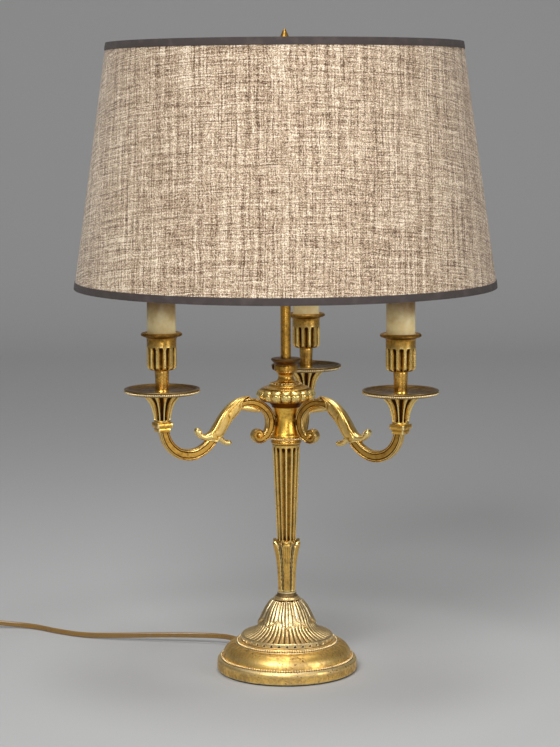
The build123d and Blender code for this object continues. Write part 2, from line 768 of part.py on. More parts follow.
def make_arm(azimuth):
    """One cast arm: an S-scroll with a volute at the hub, leaf tips and the block that carries a candle."""
    plane = radial_plane(azimuth)
    with BuildPart() as arm:
        with BuildLine(plane):
            scroll = FilletPolyline((scroll_tip_reach, scroll_foot), (scroll_back, scroll_foot),
                                    (scroll_back, crest_level), (crest_reach, crest_level),
                                    (arm_reach - hollow_start, hollow_level), (rise_reach, hollow_level),
                                    (rise_reach, block_bottom + block_step_height / 4),
                                    radius=[scroll_foot_bend, scroll_bend, crest_bend, hollow_bend, rise_bend])
        with BuildSketch(Plane(origin=scroll @ 0, x_dir=plane.z_dir, z_dir=scroll % 0)):
            RectangleRounded(arm_wide, arm_thick, arm_wide * 0.28)
        sweep(path=scroll)
        with BuildSketch(plane.offset(-volute_width / 2)):
            with Locations((volute_reach, arm_base + volute_rise)):
                Circle(volute_radius)
        extrude(amount=volute_width)
        with BuildSketch(plane.offset(-leaf_width / 2)):
            with BuildLine():
                Polyline(*leaf_tip(upper_tip_reach, upper_tip_rise, upper_tip_thickness), close=True)
            make_face()
            with BuildLine():
                Polyline(*leaf_tip(-lower_tip_reach, -lower_tip_drop, -lower_tip_thickness), close=True)
            make_face()
        extrude(amount=leaf_width)
        add(hub_blank.part, mode=Mode.SUBTRACT)
        add(cap_blank.part, mode=Mode.SUBTRACT)
        with BuildSketch(Plane(origin=radial_point(arm_spigot_end, azimuth, spigot_level),
                               z_dir=radial_point(1, azimuth, 0))):
            Circle(arm_spigot_radius)
        extrude(amount=scroll_back - arm_spigot_end)
        block_centre = radial_point(arm_reach, azimuth, block_bottom)
        with BuildSketch(Plane(origin=block_centre, x_dir=plane.x_dir, z_dir=(0, 0, 1))):
            Rectangle(block_step_width, block_step_width)
        extrude(amount=block_step_height)
        with BuildSketch(Plane(origin=block_centre, x_dir=plane.x_dir, z_dir=(0, 0, 1)).offset(block_step_height)):
            Rectangle(block_width, block_width)
        extrude(amount=block_height)
        with BuildSketch(Plane(origin=radial_point(arm_reach, azimuth, block_top), z_dir=(0, 0, -1))):
            Circle(nipple_hole)
        extrude(amount=nipple_depth, mode=Mode.SUBTRACT)
        add(wire_way(azimuth, arm_wire_bore), mode=Mode.SUBTRACT)
    return arm


def wire_way(azimuth, radius):
    """The round way of an arm's wires, from inside the hub to inside the candle's threaded tube."""
    plane = radial_plane(azimuth)
    with BuildPart() as way:
        with BuildLine(plane):
            route = FilletPolyline((arm_spigot_end - arm_wire_radius / 3, spigot_level), (wire_back, spigot_level),
                                   (wire_back, crest_level - wire_crest_drop),
                                   (crest_reach, crest_level - wire_crest_drop),
                                   (arm_reach - hollow_start, hollow_level), (arm_reach, hollow_level),
                                   (arm_reach, block_top),
                                   radius=[wire_first_bend, wire_second_bend, crest_bend, hollow_bend,
                                           rise_bend])
        with BuildSketch(Plane(origin=route @ 0, z_dir=route % 0)):
            Circle(radius)
        sweep(path=route)
    return way.part


arms = {side: make_arm(azimuth) for side, azimuth in arm_azimuths.items()}


# ---------------------------------------------------------------- candle fittings, one set for each arm
def make_trumpet(x, y):
    """The flared support under a drip pan."""
    with BuildPart() as trumpet:
        with BuildSketch(half_section(x, y)):
            with BuildLine():
                Polyline((nipple_hole, block_top), (trumpet_foot_radius, block_top))
                ThreePointArc((trumpet_foot_radius, block_top),
                              (trumpet_foot_radius + trumpet_bulge, block_top + trumpet_height / 2),
                              (trumpet_head_radius, trumpet_top))
                Polyline((trumpet_head_radius, trumpet_top), (nipple_hole, trumpet_top), (nipple_hole, block_top))
            make_face()
        revolve(axis=post(x, y))
    return trumpet


def make_drip_pan(x, y):
    """The round drip pan with a beaded edge."""
    rim = trumpet_top + pan_height
    lip = pan_radius - pan_lip_inset
    lip_level = trumpet_top + pan_lip_rise
    slope_end = (pan_radius - pan_rim_width - pan_slope_width, rim - pan_slope_drop)
    with BuildPart() as pan:
        with BuildSketch(half_section(x, y)):
            with BuildLine():
                Polyline((nipple_hole, trumpet_top), (trumpet_head_radius + pan_ledge, trumpet_top),
                         (lip, lip_level))
                ThreePointArc((lip, lip_level), (lip + pan_bead, lip_level + pan_bead),
                              (lip, lip_level + 2 * pan_bead))
                Polyline((lip, lip_level + 2 * pan_bead), (pan_radius, rim - pan_rim_round - pan_rim_band),
                         (pan_radius, rim - pan_rim_round), (pan_radius - pan_rim_round, rim),
                         (pan_radius - pan_rim_width, rim))
                ThreePointArc((pan_radius - pan_rim_width, rim),
                              (pan_radius - pan_rim_width - pan_slope_width * 0.4,
                               rim - pan_slope_drop / 2 - pan_slope_hollow), slope_end)
                Polyline(slope_end, (stem_flange_radius, pan_top), (nipple_hole, pan_top),
                         (nipple_hole, trumpet_top))
            make_face()
        revolve(axis=post(x, y))
    return pan


def make_candle_stem(x, y):
    """The short tube between a drip pan and a candle cup."""
    with BuildPart() as stem:
        with BuildSketch(half_section(x, y)):
            Polygon((nipple_hole, pan_top), (stem_flange_radius, pan_top),
                    (stem_flange_radius, pan_top + stem_flange_height),
                    (stem_foot_radius, pan_top + 2 * stem_flange_height),
                    (stem_foot_radius, pan_top + 2 * stem_flange_height + stem_foot_height),
                    (stem_head_radius, stem_top - stem_head_height), (stem_head_radius, stem_top),
                    (nipple_hole, stem_top), align=None)
        revolve(axis=post(x, y))
    return stem


def make_candle_cup(x, y):
    """The fluted cup with a flared rim that a candle sleeve stands in."""
    recess = sleeve_radius + sleeve_clearance
    rim_base = cup_top - cup_rim_height
    with BuildPart() as cup:
        with BuildSketch(half_section(x, y)):
            with BuildLine():
                Polyline((nipple_hole, stem_top), (cup_radius - cup_foot_chamfer, stem_top),
                         (cup_radius, stem_top + cup_foot_chamfer), (cup_radius, rim_base))
                ThreePointArc((cup_radius, rim_base), (cup_rim_radius, cup_top - cup_rim_thickness),
                              (cup_rim_radius - cup_rim_round, cup_top))
                Polyline((cup_rim_radius - cup_rim_round, cup_top), (recess, cup_top), (recess, sleeve_seat),
                         (cup_cavity_radius, sleeve_seat), (cup_cavity_radius, stem_top + cup_floor),
                         (nipple_hole, stem_top + cup_floor), (nipple_hole, stem_top))
            make_face()
        revolve(axis=post(x, y))
        with BuildSketch(Plane.XY.offset(stem_top)):
            with Locations((x, y)):
                with PolarLocations(cup_radius + cup_flute_radius * 0.4, cup_flute_count):
                    Circle(cup_flute_radius)
        extrude(amount=cup_flute_height, mode=Mode.SUBTRACT)
    return cup


def make_candle_sleeve(x, y):
    """The plain ivory tube that looks like a candle."""
    with BuildPart() as sleeve:
        with BuildSketch(Plane.XY.offset(sleeve_seat)):
            with Locations((x, y)):
                Circle(sleeve_radius)
                Circle(sleeve_radius - sleeve_wall, mode=Mode.SUBTRACT)
        extrude(amount=sleeve_height)
    return sleeve


def make_bulb_cap(x, y):
    """The screw cap of a bulb, with its end contact."""
    with BuildPart() as cap:
        with BuildSketch(Plane.XY.offset(bulb_level)):
            with Locations((x, y)):
                Circle(bulb_cap_radius)
        extrude(amount=bulb_cap_height)
        with BuildSketch(Plane.XY.offset(bulb_level - bulb_contact_height)):
            with Locations((x, y)):
                Circle(bulb_contact_radius)
        extrude(amount=bulb_contact_height)
    return cap


def make_bulb_glass(x, y):
    """The thin glass of a candle bulb, open where its cap closes it."""
    tip = holder_top + bulb_glass_height
    belly = holder_top + bulb_glass_height * 0.32
    wall = bulb_glass_wall
    with BuildPart() as glass:
        with BuildSketch(half_section(x, y)):
            with BuildLine():
                Spline((bulb_neck_radius, holder_top), (bulb_glass_radius, belly), tangents=((0.2, 1), (0, 1)))
                Spline((bulb_glass_radius, belly), (0, tip), tangents=((0, 1), (-0.5, 0.85)))
                Line((0, tip), (0, tip - wall))
                Spline((0, tip - wall), (bulb_glass_radius - wall, belly), tangents=((0.5, -0.85), (0, -1)))
                Spline((bulb_glass_radius - wall, belly), (bulb_neck_radius - wall, holder_top),
                       tangents=((0, -1), (-0.2, -1)))
                Line((bulb_neck_radius - wall, holder_top), (bulb_neck_radius, holder_top))
            make_face()
        revolve(axis=post(x, y))
    return glass


candle_sets = {}
for side, azimuth in arm_azimuths.items():
    x, y, _ = radial_point(arm_reach, azimuth, 0)
    candle_sets[side] = {
        "trumpet": make_trumpet(x, y), "drip_pan": make_drip_pan(x, y),
        "candle_stem": make_candle_stem(x, y), "candle_cup": make_candle_cup(x, y),
        "candle_sleeve": make_candle_sleeve(x, y), "bulb_cap": make_bulb_cap(x, y),
        "bulb_glass": make_bulb_glass(x, y)}

candle_places = [radial_point(arm_reach, azimuth, 0)[:2] for azimuth in arm_azimuths.values()]
nipple_bottom = block_top - nipple_depth
cup_floor_top = stem_top + cup_floor
with BuildPart() as candle_nipples:
    with BuildSketch(Plane.XY.offset(nipple_bottom)):
        with Locations(*candle_places):
            Circle(nipple_radius)
            Circle(nipple_bore, mode=Mode.SUBTRACT)
    extrude(amount=holder_level + holder_boss_height * 0.7 - nipple_bottom)
    with BuildSketch(Plane.XY.offset(cup_floor_top)):
        with Locations(*candle_places):
            RegularPolygon(candle_nut_across_flats / 2, 6, major_radius=False)
            Circle(nipple_radius, mode=Mode.SUBTRACT)
    extrude(amount=candle_nut_height)

with BuildPart() as lampholders:
    with BuildSketch(Plane.XY.offset(holder_level)):
        with Locations(*candle_places):
            Circle(holder_boss_radius)
    extrude(amount=holder_boss_height)
    with BuildSketch(Plane.XY.offset(holder_level + holder_boss_height)):
        with Locations(*candle_places):
            Circle(holder_radius)
    extrude(amount=holder_height - holder_boss_height)
    with BuildSketch(Plane.XY.offset(holder_level)):
        with Locations(*candle_places):
            Circle(nipple_hole)
    extrude(amount=holder_boss_height, mode=Mode.SUBTRACT)
    with BuildSketch(Plane.XY.offset(holder_top - holder_bore_depth)):
        with Locations(*candle_places):
            Circle(bulb_cap_radius + bulb_cap_clearance)
    extrude(amount=holder_bore_depth, mode=Mode.SUBTRACT)

# ---------------------------------------------------------------- cord bush in the foot
bush_plane = Plane(origin=radial_point(foot_radius, bush_azimuth, bush_level),
                   z_dir=radial_point(1, bush_azimuth, 0))
with BuildPart() as cord_bush:
    bush_inside = foot_wall + bush_flange_gap + bush_flange_thickness
    with BuildSketch(bush_plane.offset(-bush_inside)):
        Circle(bush_flange_radius)
    extrude(amount=bush_flange_thickness)
    with BuildSketch(bush_plane.offset(-bush_inside)):
        Circle(bush_shank_radius)
    extrude(amount=bush_inside + bush_flange_gap)
    with BuildSketch(bush_plane.offset(bush_flange_gap)):
        Circle(bush_flange_radius)
    with BuildSketch(bush_plane.offset(bush_nose_length)):
        Circle(bush_tip_radius)
    loft()
    with BuildSketch(bush_plane.offset(-bush_inside)):
        Circle(cord_radius + bush_clearance)
    extrude(amount=bush_inside + bush_nose_length, mode=Mode.SUBTRACT)

# ---------------------------------------------------------------- cord, inline switch, coil and plug
cord_exit_radius = foot_radius + bush_nose_length
switch_start = (-320.0, 164.5)
switch_end = (switch_start[0] - switch_length, switch_start[1])
switch_level = switch_height / 2
coil_bottom = tie_thickness + tie_clearance
coil_half_width = coil_turns_across * cord_diameter / 2
coil_height = coil_layers * cord_diameter
outer_turn = coil_middle_radius + cord_diameter * (coil_turns_across - 1) / 2
plug_start = (-353.0, 51.5)
plug_level = plug_height / 2

lamp_run = [
    radial_point(cord_exit_radius, bush_azimuth, bush_level),
    (-45.5, 78.81, bush_level),
    (-57.0, 89.0, 8.5),
    (-73.0, 95.5, 8.5),
    (-97.5, 100.2, 8.0),
    (-123.2, 104.0, 7.4),
    (-175.6, 112.6, 4.8),
    (-208.1, 121.9, cord_radius + cord_floor_gap),
    (-239.1, 140.3, cord_radius + cord_floor_gap),
    (-264.6, 161.8, cord_radius + cord_floor_gap),
    (-299.5, 165.0, 5.3),
    (*switch_start, switch_level),
]
coil_run = [
    (*switch_end, switch_level),
    (-390.0, 164.3, 7.3),
    (-405.0, 158.0, 5.4),
    (-416.2, 146.8, 4.0),
    (-422.6, 132.0, 3.4),
    (coil_centre[0] - outer_turn, coil_centre[1] + coil_overlap, coil_bottom + cord_radius),
]
plug_run = [
    (coil_centre[0] + 3.0, coil_centre[1] - outer_turn + 0.6, coil_bottom + coil_height - cord_radius),
    (-371.5, 60.0, 8.3),
    (-361.0, 54.6, 7.3),
    (*plug_start, plug_level),
]


def cord_radii(points):
    """The largest arc at each inner point that its two runs allow."""
    radii = []
    for before, point, after in zip(points, points[1:], points[2:]):
        run_in = [b - a for a, b in zip(before, point)]
        run_out = [b - a for a, b in zip(point, after)]
        shorter = min(hypot(*run_in), hypot(*run_out))
        across = hypot(run_in[1] * run_out[2] - run_in[2] * run_out[1],
                       run_in[2] * run_out[0] - run_in[0] * run_out[2],
                       run_in[0] * run_out[1] - run_in[1] * run_out[0])
        along = sum(a * b for a, b in zip(run_in, run_out))
        radii.append(0.45 * shorter / tan(atan2(across, along) / 2))
    return radii


def make_cord(points):
    """A round cord along straight runs joined by tangent arcs."""
    radii = cord_radii(points)
    with BuildPart() as cord:
        with BuildLine():
            route = FilletPolyline(*points, radius=radii)
        with BuildSketch(Plane(origin=route @ 0, z_dir=route % 0)):
            Circle(cord_radius)
        sweep(path=route)
    print("cord radii", [round(r, 1) for r in radii], "length", round(route.length, 1),
          "volume ratio", round(cord.part.volume / (route.length * pi * cord_radius**2), 4))
    return cord.part


with BuildPart() as power_cord:
    for run in (lamp_run, coil_run, plug_run):
        add(make_cord(run))

with BuildPart() as cord_coil:
    with BuildSketch(half_section(*coil_centre)):
        with Locations((coil_middle_radius, coil_bottom + coil_height / 2)):
            RectangleRounded(2 * coil_half_width, coil_height, cord_radius * 0.9)
    revolve(axis=post(*coil_centre))

tie_inside_width = 2 * (coil_half_width + tie_clearance)
tie_inside_height = coil_height + 2 * tie_clearance
tie_angle = radians(tie_azimuth)
tie_plane = Plane(origin=(coil_centre[0] + coil_middle_radius * cos(tie_angle),
                          coil_centre[1] + coil_middle_radius * sin(tie_angle), coil_bottom + coil_height / 2),
                  x_dir=(cos(tie_angle), sin(tie_angle), 0), z_dir=(sin(tie_angle), -cos(tie_angle), 0))
with BuildPart() as cord_tie:
    with BuildSketch(tie_plane.offset(-tie_width / 2)):
        RectangleRounded(tie_inside_width + 2 * tie_thickness + tie_slack, tie_inside_height + 2 * tie_thickness,
                         cord_radius * 0.9)
        RectangleRounded(tie_inside_width + tie_slack, tie_inside_height, cord_radius * 0.8, mode=Mode.SUBTRACT)
    extrude(amount=tie_width)

# The inner leads: the mains lead from the bush up the tie rod, and one lead through each arm.
with BuildPart() as inner_leads:
    with BuildLine(radial_plane(bush_azimuth)):
        lead = FilletPolyline((cord_exit_radius, bush_level), (0, bush_level), (0, tie_rod_top - 2),
                              radius=inner_lead_bend)
    with BuildSketch(Plane(origin=lead @ 0, z_dir=lead % 0)):
        Circle(cord_radius)
    sweep(path=lead)
    for azimuth in arm_azimuths.values():
        add(wire_way(azimuth, arm_wire_radius))

# The switch: a hollow two-part case with a rocker on a cross pin.
switch_x = switch_start[0] - switch_length / 2
switch_y = switch_start[1]
pivot_level = switch_height - rocker_pivot_drop
window = rocker_length + 2 * rocker_gap
with BuildPart() as switch_case:
    with BuildSketch(Plane.XY):
        with Locations((switch_x, switch_y)):
            RectangleRounded(switch_length, switch_width, switch_corner)
    extrude(amount=switch_height)
    fillet(switch_case.faces().sort_by(Axis.Z)[-1].edges(), switch_edge_round)
    with BuildSketch(Plane.XY.offset(switch_wall)):
        with Locations((switch_x, switch_y)):
            Rectangle(switch_length - 6 * switch_wall, switch_width - 2 * switch_wall)
    extrude(amount=switch_height - 2 * switch_wall, mode=Mode.SUBTRACT)
    with BuildSketch(Plane.XY.offset(switch_height / 2)):
        with Locations((switch_x, switch_y)):
            Rectangle(window, rocker_width + 2 * rocker_gap)
    extrude(amount=switch_height, mode=Mode.SUBTRACT)
    with Locations((switch_x, switch_y, pivot_level)):
        Cylinder(rocker_pin_radius, switch_width - switch_wall, rotation=(90, 0, 0))
    split(bisect_by=Plane.XY.offset(switch_height * 0.45), keep=Keep.BOTH)

with BuildPart() as level_rocker:
    with BuildSketch(Plane(origin=(switch_x, switch_y - rocker_width / 2, 0), x_dir=(1, 0, 0), z_dir=(0, 1, 0))):
        with BuildLine():
            half = rocker_length / 2
            rise = half * tan(radians(rocker_throw))
            face_level = -pivot_level - rocker_proud + rocker_crown
            skirt_level = -pivot_level + rocker_skirt_drop
            Polyline((-half, face_level - rise), (0, face_level), (half, face_level - rise),
                     (half - rocker_taper, skirt_level))
            ThreePointArc((half - rocker_taper, skirt_level), (0, -pivot_level + rocker_depth),
                          (-half + rocker_taper, skirt_level))
            Line((-half + rocker_taper, skirt_level), (-half, face_level - rise))
        make_face()
    extrude(amount=rocker_width)
    with Locations((switch_x, switch_y, pivot_level)):
        Cylinder(rocker_pin_radius + rocker_pin_clearance, 2 * rocker_width, rotation=(90, 0, 0),
                 mode=Mode.SUBTRACT)

# It rests in its off position, tilted about its pin.
with BuildPart() as switch_rocker:
    add(level_rocker.part.rotate(Axis((switch_x, switch_y, pivot_level), (0, 1, 0)), -rocker_throw))

# The plug: a flat two-pin plug lying beside the coil.
with BuildPart() as plug_body:
    with BuildSketch(Plane.XY):
        with BuildLine():
            neck_end = plug_start[0] + plug_length * 0.45
            nose = plug_start[0] + plug_length
            Polyline((plug_start[0], plug_start[1] - plug_neck_width / 2), (neck_end, plug_start[1] - plug_width / 2),
                     (nose, plug_start[1] - plug_width / 2), (nose, plug_start[1] + plug_width / 2),
                     (neck_end, plug_start[1] + plug_width / 2),
                     (plug_start[0], plug_start[1] + plug_neck_width / 2),
                     (plug_start[0], plug_start[1] - plug_neck_width / 2))
        make_face()
    extrude(amount=plug_height)
    fillet(plug_body.edges().filter_by(Axis.Z), plug_corner_round)
    fillet(plug_body.faces().sort_by(Axis.Z)[-1].edges(), plug_edge_round)
    with BuildSketch(Plane(origin=(nose, plug_start[1], plug_level), z_dir=(-1, 0, 0), x_dir=(0, 1, 0))):
        with GridLocations(plug_pin_spacing, 1, 2, 1):
            Circle(plug_pin_radius)
    extrude(amount=plug_pin_seat, mode=Mode.SUBTRACT)

with BuildPart() as plug_pins:
    with BuildSketch(Plane(origin=(nose - plug_pin_seat, plug_start[1], plug_level), z_dir=(1, 0, 0),
                           x_dir=(0, 1, 0))):
        with GridLocations(plug_pin_spacing, 1, 2, 1):
            Circle(plug_pin_radius)
    extrude(amount=plug_pin_seat + plug_pin_length)

# ---------------------------------------------------------------- write every piece
pieces = {
    "felt_pad": felt_pad, "base_foot": base_foot, "base_bell": base_bell, "bell_collar": bell_collar,
    "leaf_calyx": leaf_calyx, "fluted_column": fluted_column, "bead_collar": bead_collar,
    "tie_rod": tie_rod, "base_washer": base_washer, "tie_rod_nuts": tie_rod_nuts,
    "hub_body": hub_body, "gadroon_cap": gadroon_cap, "neck_spool": neck_spool_bored,
    "clamp_collar": clamp_collar, "cover_disc": cover_disc, "lock_screw": lock_screw,
    "shade_rod": shade_rod, "finial": finial, "shade_fabric": shade_fabric, "shade_liner": shade_liner,
    "shade_trim_bottom": shade_trim_bottom, "shade_trim_top": shade_trim_top,
    "shade_ring_bottom": shade_ring_bottom, "shade_spider": shade_spider,
    "candle_nipples": candle_nipples, "lampholders": lampholders, "cord_bush": cord_bush,
    "power_cord": power_cord, "cord_coil": cord_coil, "cord_tie": cord_tie, "inner_leads": inner_leads,
    "switch_case": switch_case, "switch_rocker": switch_rocker, "plug_body": plug_body,
    "plug_pins": plug_pins,
}
for side, arm in arms.items():
    pieces[f"arm_{side}"] = arm
for side, candle_set in candle_sets.items():
    for name, piece in candle_set.items():
        pieces[f"{name}_{side}"] = piece
for name, piece in pieces.items():
    save(piece, name)
print(len(pieces), "nodes")
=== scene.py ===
# A gilt brass candelabra lamp under a linen drum shade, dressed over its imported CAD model.
# The scene is in metres and the tables of sizes in millimetres. +Z is up, -Y is the front.
from math import ceil, cos, hypot, pi, radians, sin

import bmesh
import bpy
import numpy as np
from mathutils import Matrix


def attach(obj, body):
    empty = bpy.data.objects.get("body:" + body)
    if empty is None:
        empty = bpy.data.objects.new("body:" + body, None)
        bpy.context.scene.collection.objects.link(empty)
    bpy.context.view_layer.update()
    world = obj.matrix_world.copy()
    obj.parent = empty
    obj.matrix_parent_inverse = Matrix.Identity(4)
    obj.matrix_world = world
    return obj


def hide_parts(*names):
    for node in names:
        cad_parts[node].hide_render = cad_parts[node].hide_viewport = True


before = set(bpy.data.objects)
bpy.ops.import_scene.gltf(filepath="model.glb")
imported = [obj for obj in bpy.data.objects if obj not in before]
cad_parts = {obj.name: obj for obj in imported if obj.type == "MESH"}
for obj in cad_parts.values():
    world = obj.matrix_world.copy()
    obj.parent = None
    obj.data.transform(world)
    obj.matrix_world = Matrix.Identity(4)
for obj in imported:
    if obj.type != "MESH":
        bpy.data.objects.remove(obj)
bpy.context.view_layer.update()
scene = bpy.context.scene
scene.view_settings.view_transform = "Standard"
mm = 0.001
tau = 2 * pi
print("frame loaded:", len(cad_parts), "nodes")

# camera and cord line first, because they decide where the rest may lie
cameraSettings = {"place": (-0.0056, -1.986, 0.5393), "tilt": 82.8, "roll": -0.25, "lens": 36 * 2100 / 747}

cameraData = bpy.data.cameras.new("viewCamera")
cameraData.sensor_width = 36
cameraData.lens = cameraSettings["lens"]
cameraData.clip_start = 0.05
camera = bpy.data.objects.new("viewCamera", cameraData)
camera.location = cameraSettings["place"]
camera.rotation_euler = (Matrix.Rotation(radians(cameraSettings["tilt"]), 3, "X")
                         @ Matrix.Rotation(radians(cameraSettings["roll"]), 3, "Z")).to_euler()
scene.collection.objects.link(camera)
scene.camera = camera

cordSettings = {
    "diameter": 5.4,
    "coreRadius": 1.38,
    "coreGap": 2.6,
    "coilCentre": (-385.6, 100.0),
    "coilMiddleRadius": 32.4,
    "coilTurns": 6.25,
    "coilPlaces": [(1, 0), (0, 0), (-1, 0), (-1, 1), (0, 1), (1, 1), (2, 0.6)],  # across and layer, turn by turn
    "coilFoot": 3.3,
    "pointsPerTurn": 14,
    "length": 1.8,
    "exit": (-37.75, 65.38, 7.0),
    "lampRun": [(-37.75, 65.38, 7.0), (-45.5, 78.81, 7.0), (-57.0, 89.0, 8.5), (-73.0, 95.5, 8.5),
                (-97.5, 100.2, 8.0), (-123.2, 104.0, 7.4), (-175.6, 112.6, 4.8), (-208.1, 121.9, 2.8),
                (-239.1, 140.3, 2.8), (-264.6, 161.8, 2.8), (-299.5, 165.0, 5.3), (-320.0, 164.5, 8.5)],
    "coilRun": [(-348.0, 164.5, 5.6), (-376.0, 164.5, 8.5), (-390.0, 164.3, 7.3), (-405.0, 158.0, 5.4),
                (-416.2, 146.8, 4.0), (-422.6, 132.0, 3.4), (-423.4, 112.0, 3.3)],
    "plugRun": [(-371.5, 60.0, 8.3), (-361.0, 54.6, 7.3), (-353.0, 51.5, 6.8)],
}


def coilPoints(s):
    # three turns across and two layers high, then a last quarter that grows outwards to the plug
    pitch, places, total = s["diameter"], s["coilPlaces"], s["coilTurns"]
    lastWhole = len(places) - 2
    count = int(total * s["pointsPerTurn"])
    points = []
    for step in range(1, count + 1):
        turn = total * step / count
        now = min(int(turn), lastWhole)
        # a turn keeps its place for three quarters, and moves to the next over the last quarter
        wait, over = (0.75, 0.25) if now < lastWhole else (0.55, 0.7)
        blend = min(1.0, max(0.0, (turn - now - wait) / over))
        blend = blend * blend * (3 - 2 * blend)
        across = places[now][0] + (places[now + 1][0] - places[now][0]) * blend
        layer = places[now][1] + (places[now + 1][1] - places[now][1]) * blend
        radius = s["coilMiddleRadius"] + across * pitch
        angle = pi + turn * tau
        points.append((s["coilCentre"][0] + radius * cos(angle), s["coilCentre"][1] + radius * sin(angle),
                       s["coilFoot"] + layer * pitch))
    return points


def nurbsLine(name, points, resolution):
    data = bpy.data.curves.new(name, "CURVE")
    data.dimensions = "3D"
    data.resolution_u = resolution
    spline = data.splines.new("NURBS")
    spline.points.add(len(points) - 1)
    for point, place in zip(spline.points, points):
        point.co = (place[0] * mm, place[1] * mm, place[2] * mm, 1)
    spline.order_u = 3
    spline.use_endpoint_u = True
    carrier = bpy.data.objects.new(name, data)
    scene.collection.objects.link(carrier)
    mesh = bpy.data.meshes.new_from_object(carrier)
    line = np.array([v.co[:] for v in mesh.vertices])
    bpy.data.meshes.remove(mesh)
    bpy.data.objects.remove(carrier)
    bpy.data.curves.remove(data)
    return line


cordLine = nurbsLine("cordLine", cordSettings["lampRun"] + cordSettings["coilRun"] + coilPoints(cordSettings)
                     + cordSettings["plugRun"], 6)
print("camera and cord line:", len(cordLine), "points,",
      round(float(np.linalg.norm(np.diff(cordLine, axis=0), axis=1).sum()), 3), "m")


# node helpers
def addNode(tree, kind, values=None, **settings):
    node = tree.nodes.new(kind)
    for key, value in settings.items():
        setattr(node, key, value)
    for key, value in (values or {}).items():
        if isinstance(value, bpy.types.NodeSocket):
            tree.links.new(value, node.inputs[key])
        else:
            node.inputs[key].default_value = value
    return node


def treeOf(*values):
    # a socket knows the tree it is in
    return next(value for value in values if isinstance(value, bpy.types.NodeSocket)).id_data


def calc(operation, a, b=None, c=None, clamp=False):
    tree = treeOf(a, b, c)
    node = addNode(tree, "ShaderNodeMath", operation=operation, use_clamp=clamp)
    for socket, value in zip(node.inputs, (a, b, c)):
        if isinstance(value, bpy.types.NodeSocket):
            tree.links.new(value, socket)
        elif value is not None:
            socket.default_value = value
    return node.outputs[0]


def stepBetween(value, low, high):
    return addNode(treeOf(value), "ShaderNodeMapRange", {0: value, 1: low, 2: high},
                   interpolation_type="SMOOTHSTEP").outputs[0]


def mixColour(factor, a, b):
    return addNode(treeOf(factor), "ShaderNodeMix", {0: factor, 6: a, 7: b}, data_type="RGBA").outputs[2]


def noise(vector, scale, detail=2.0, roughness=0.5):
    return addNode(treeOf(vector), "ShaderNodeTexNoise", {
        "Vector": vector, "Scale": scale, "Detail": detail, "Roughness": roughness}).outputs[0]


def uvMillimetres(tree, layer):
    flat = addNode(tree, "ShaderNodeUVMap", uv_map=layer).outputs[0]
    flat = addNode(tree, "ShaderNodeVectorMath", {0: flat, "Scale": 1000.0}, operation="SCALE").outputs[0]
    return flat, addNode(tree, "ShaderNodeSeparateXYZ", {0: flat}).outputs


socketKinds = {float: "Float", int: "Int", tuple: "Color"}
groupOutputs = {"ShaderNodeTree": {"Color": "Color", "Roughness": "Float", "Height": "Float"},
                "GeometryNodeTree": {"Geometry": "Geometry"}}


def newGroup(name, inputs, kind="ShaderNodeTree"):
    # an input is given by its value, or by the name of its kind where it has no value of its own
    group = bpy.data.node_groups.new(name, kind)
    for label, value in inputs.items():
        named = isinstance(value, str)
        socketType = "NodeSocket" + (value if named else socketKinds[type(value)])
        socket = group.interface.new_socket(label, in_out="INPUT", socket_type=socketType)
        if not named:
            socket.default_value = value
    for label, socketKind in groupOutputs[kind].items():
        group.interface.new_socket(label, in_out="OUTPUT", socket_type="NodeSocket" + socketKind)
    return group, group.nodes.new("NodeGroupInput").outputs, group.nodes.new("NodeGroupOutput").inputs


def giveSurface(result, colour, roughness, height):
    for label, value in (("Color", colour), ("Roughness", roughness), ("Height", height)):
        treeOf(value).links.new(value, result[label])


def objectMillimetres(tree):
    place = addNode(tree, "ShaderNodeTexCoord").outputs["Object"]
    return addNode(tree, "ShaderNodeVectorMath", {0: place, "Scale": 1000.0}, operation="SCALE").outputs[0]


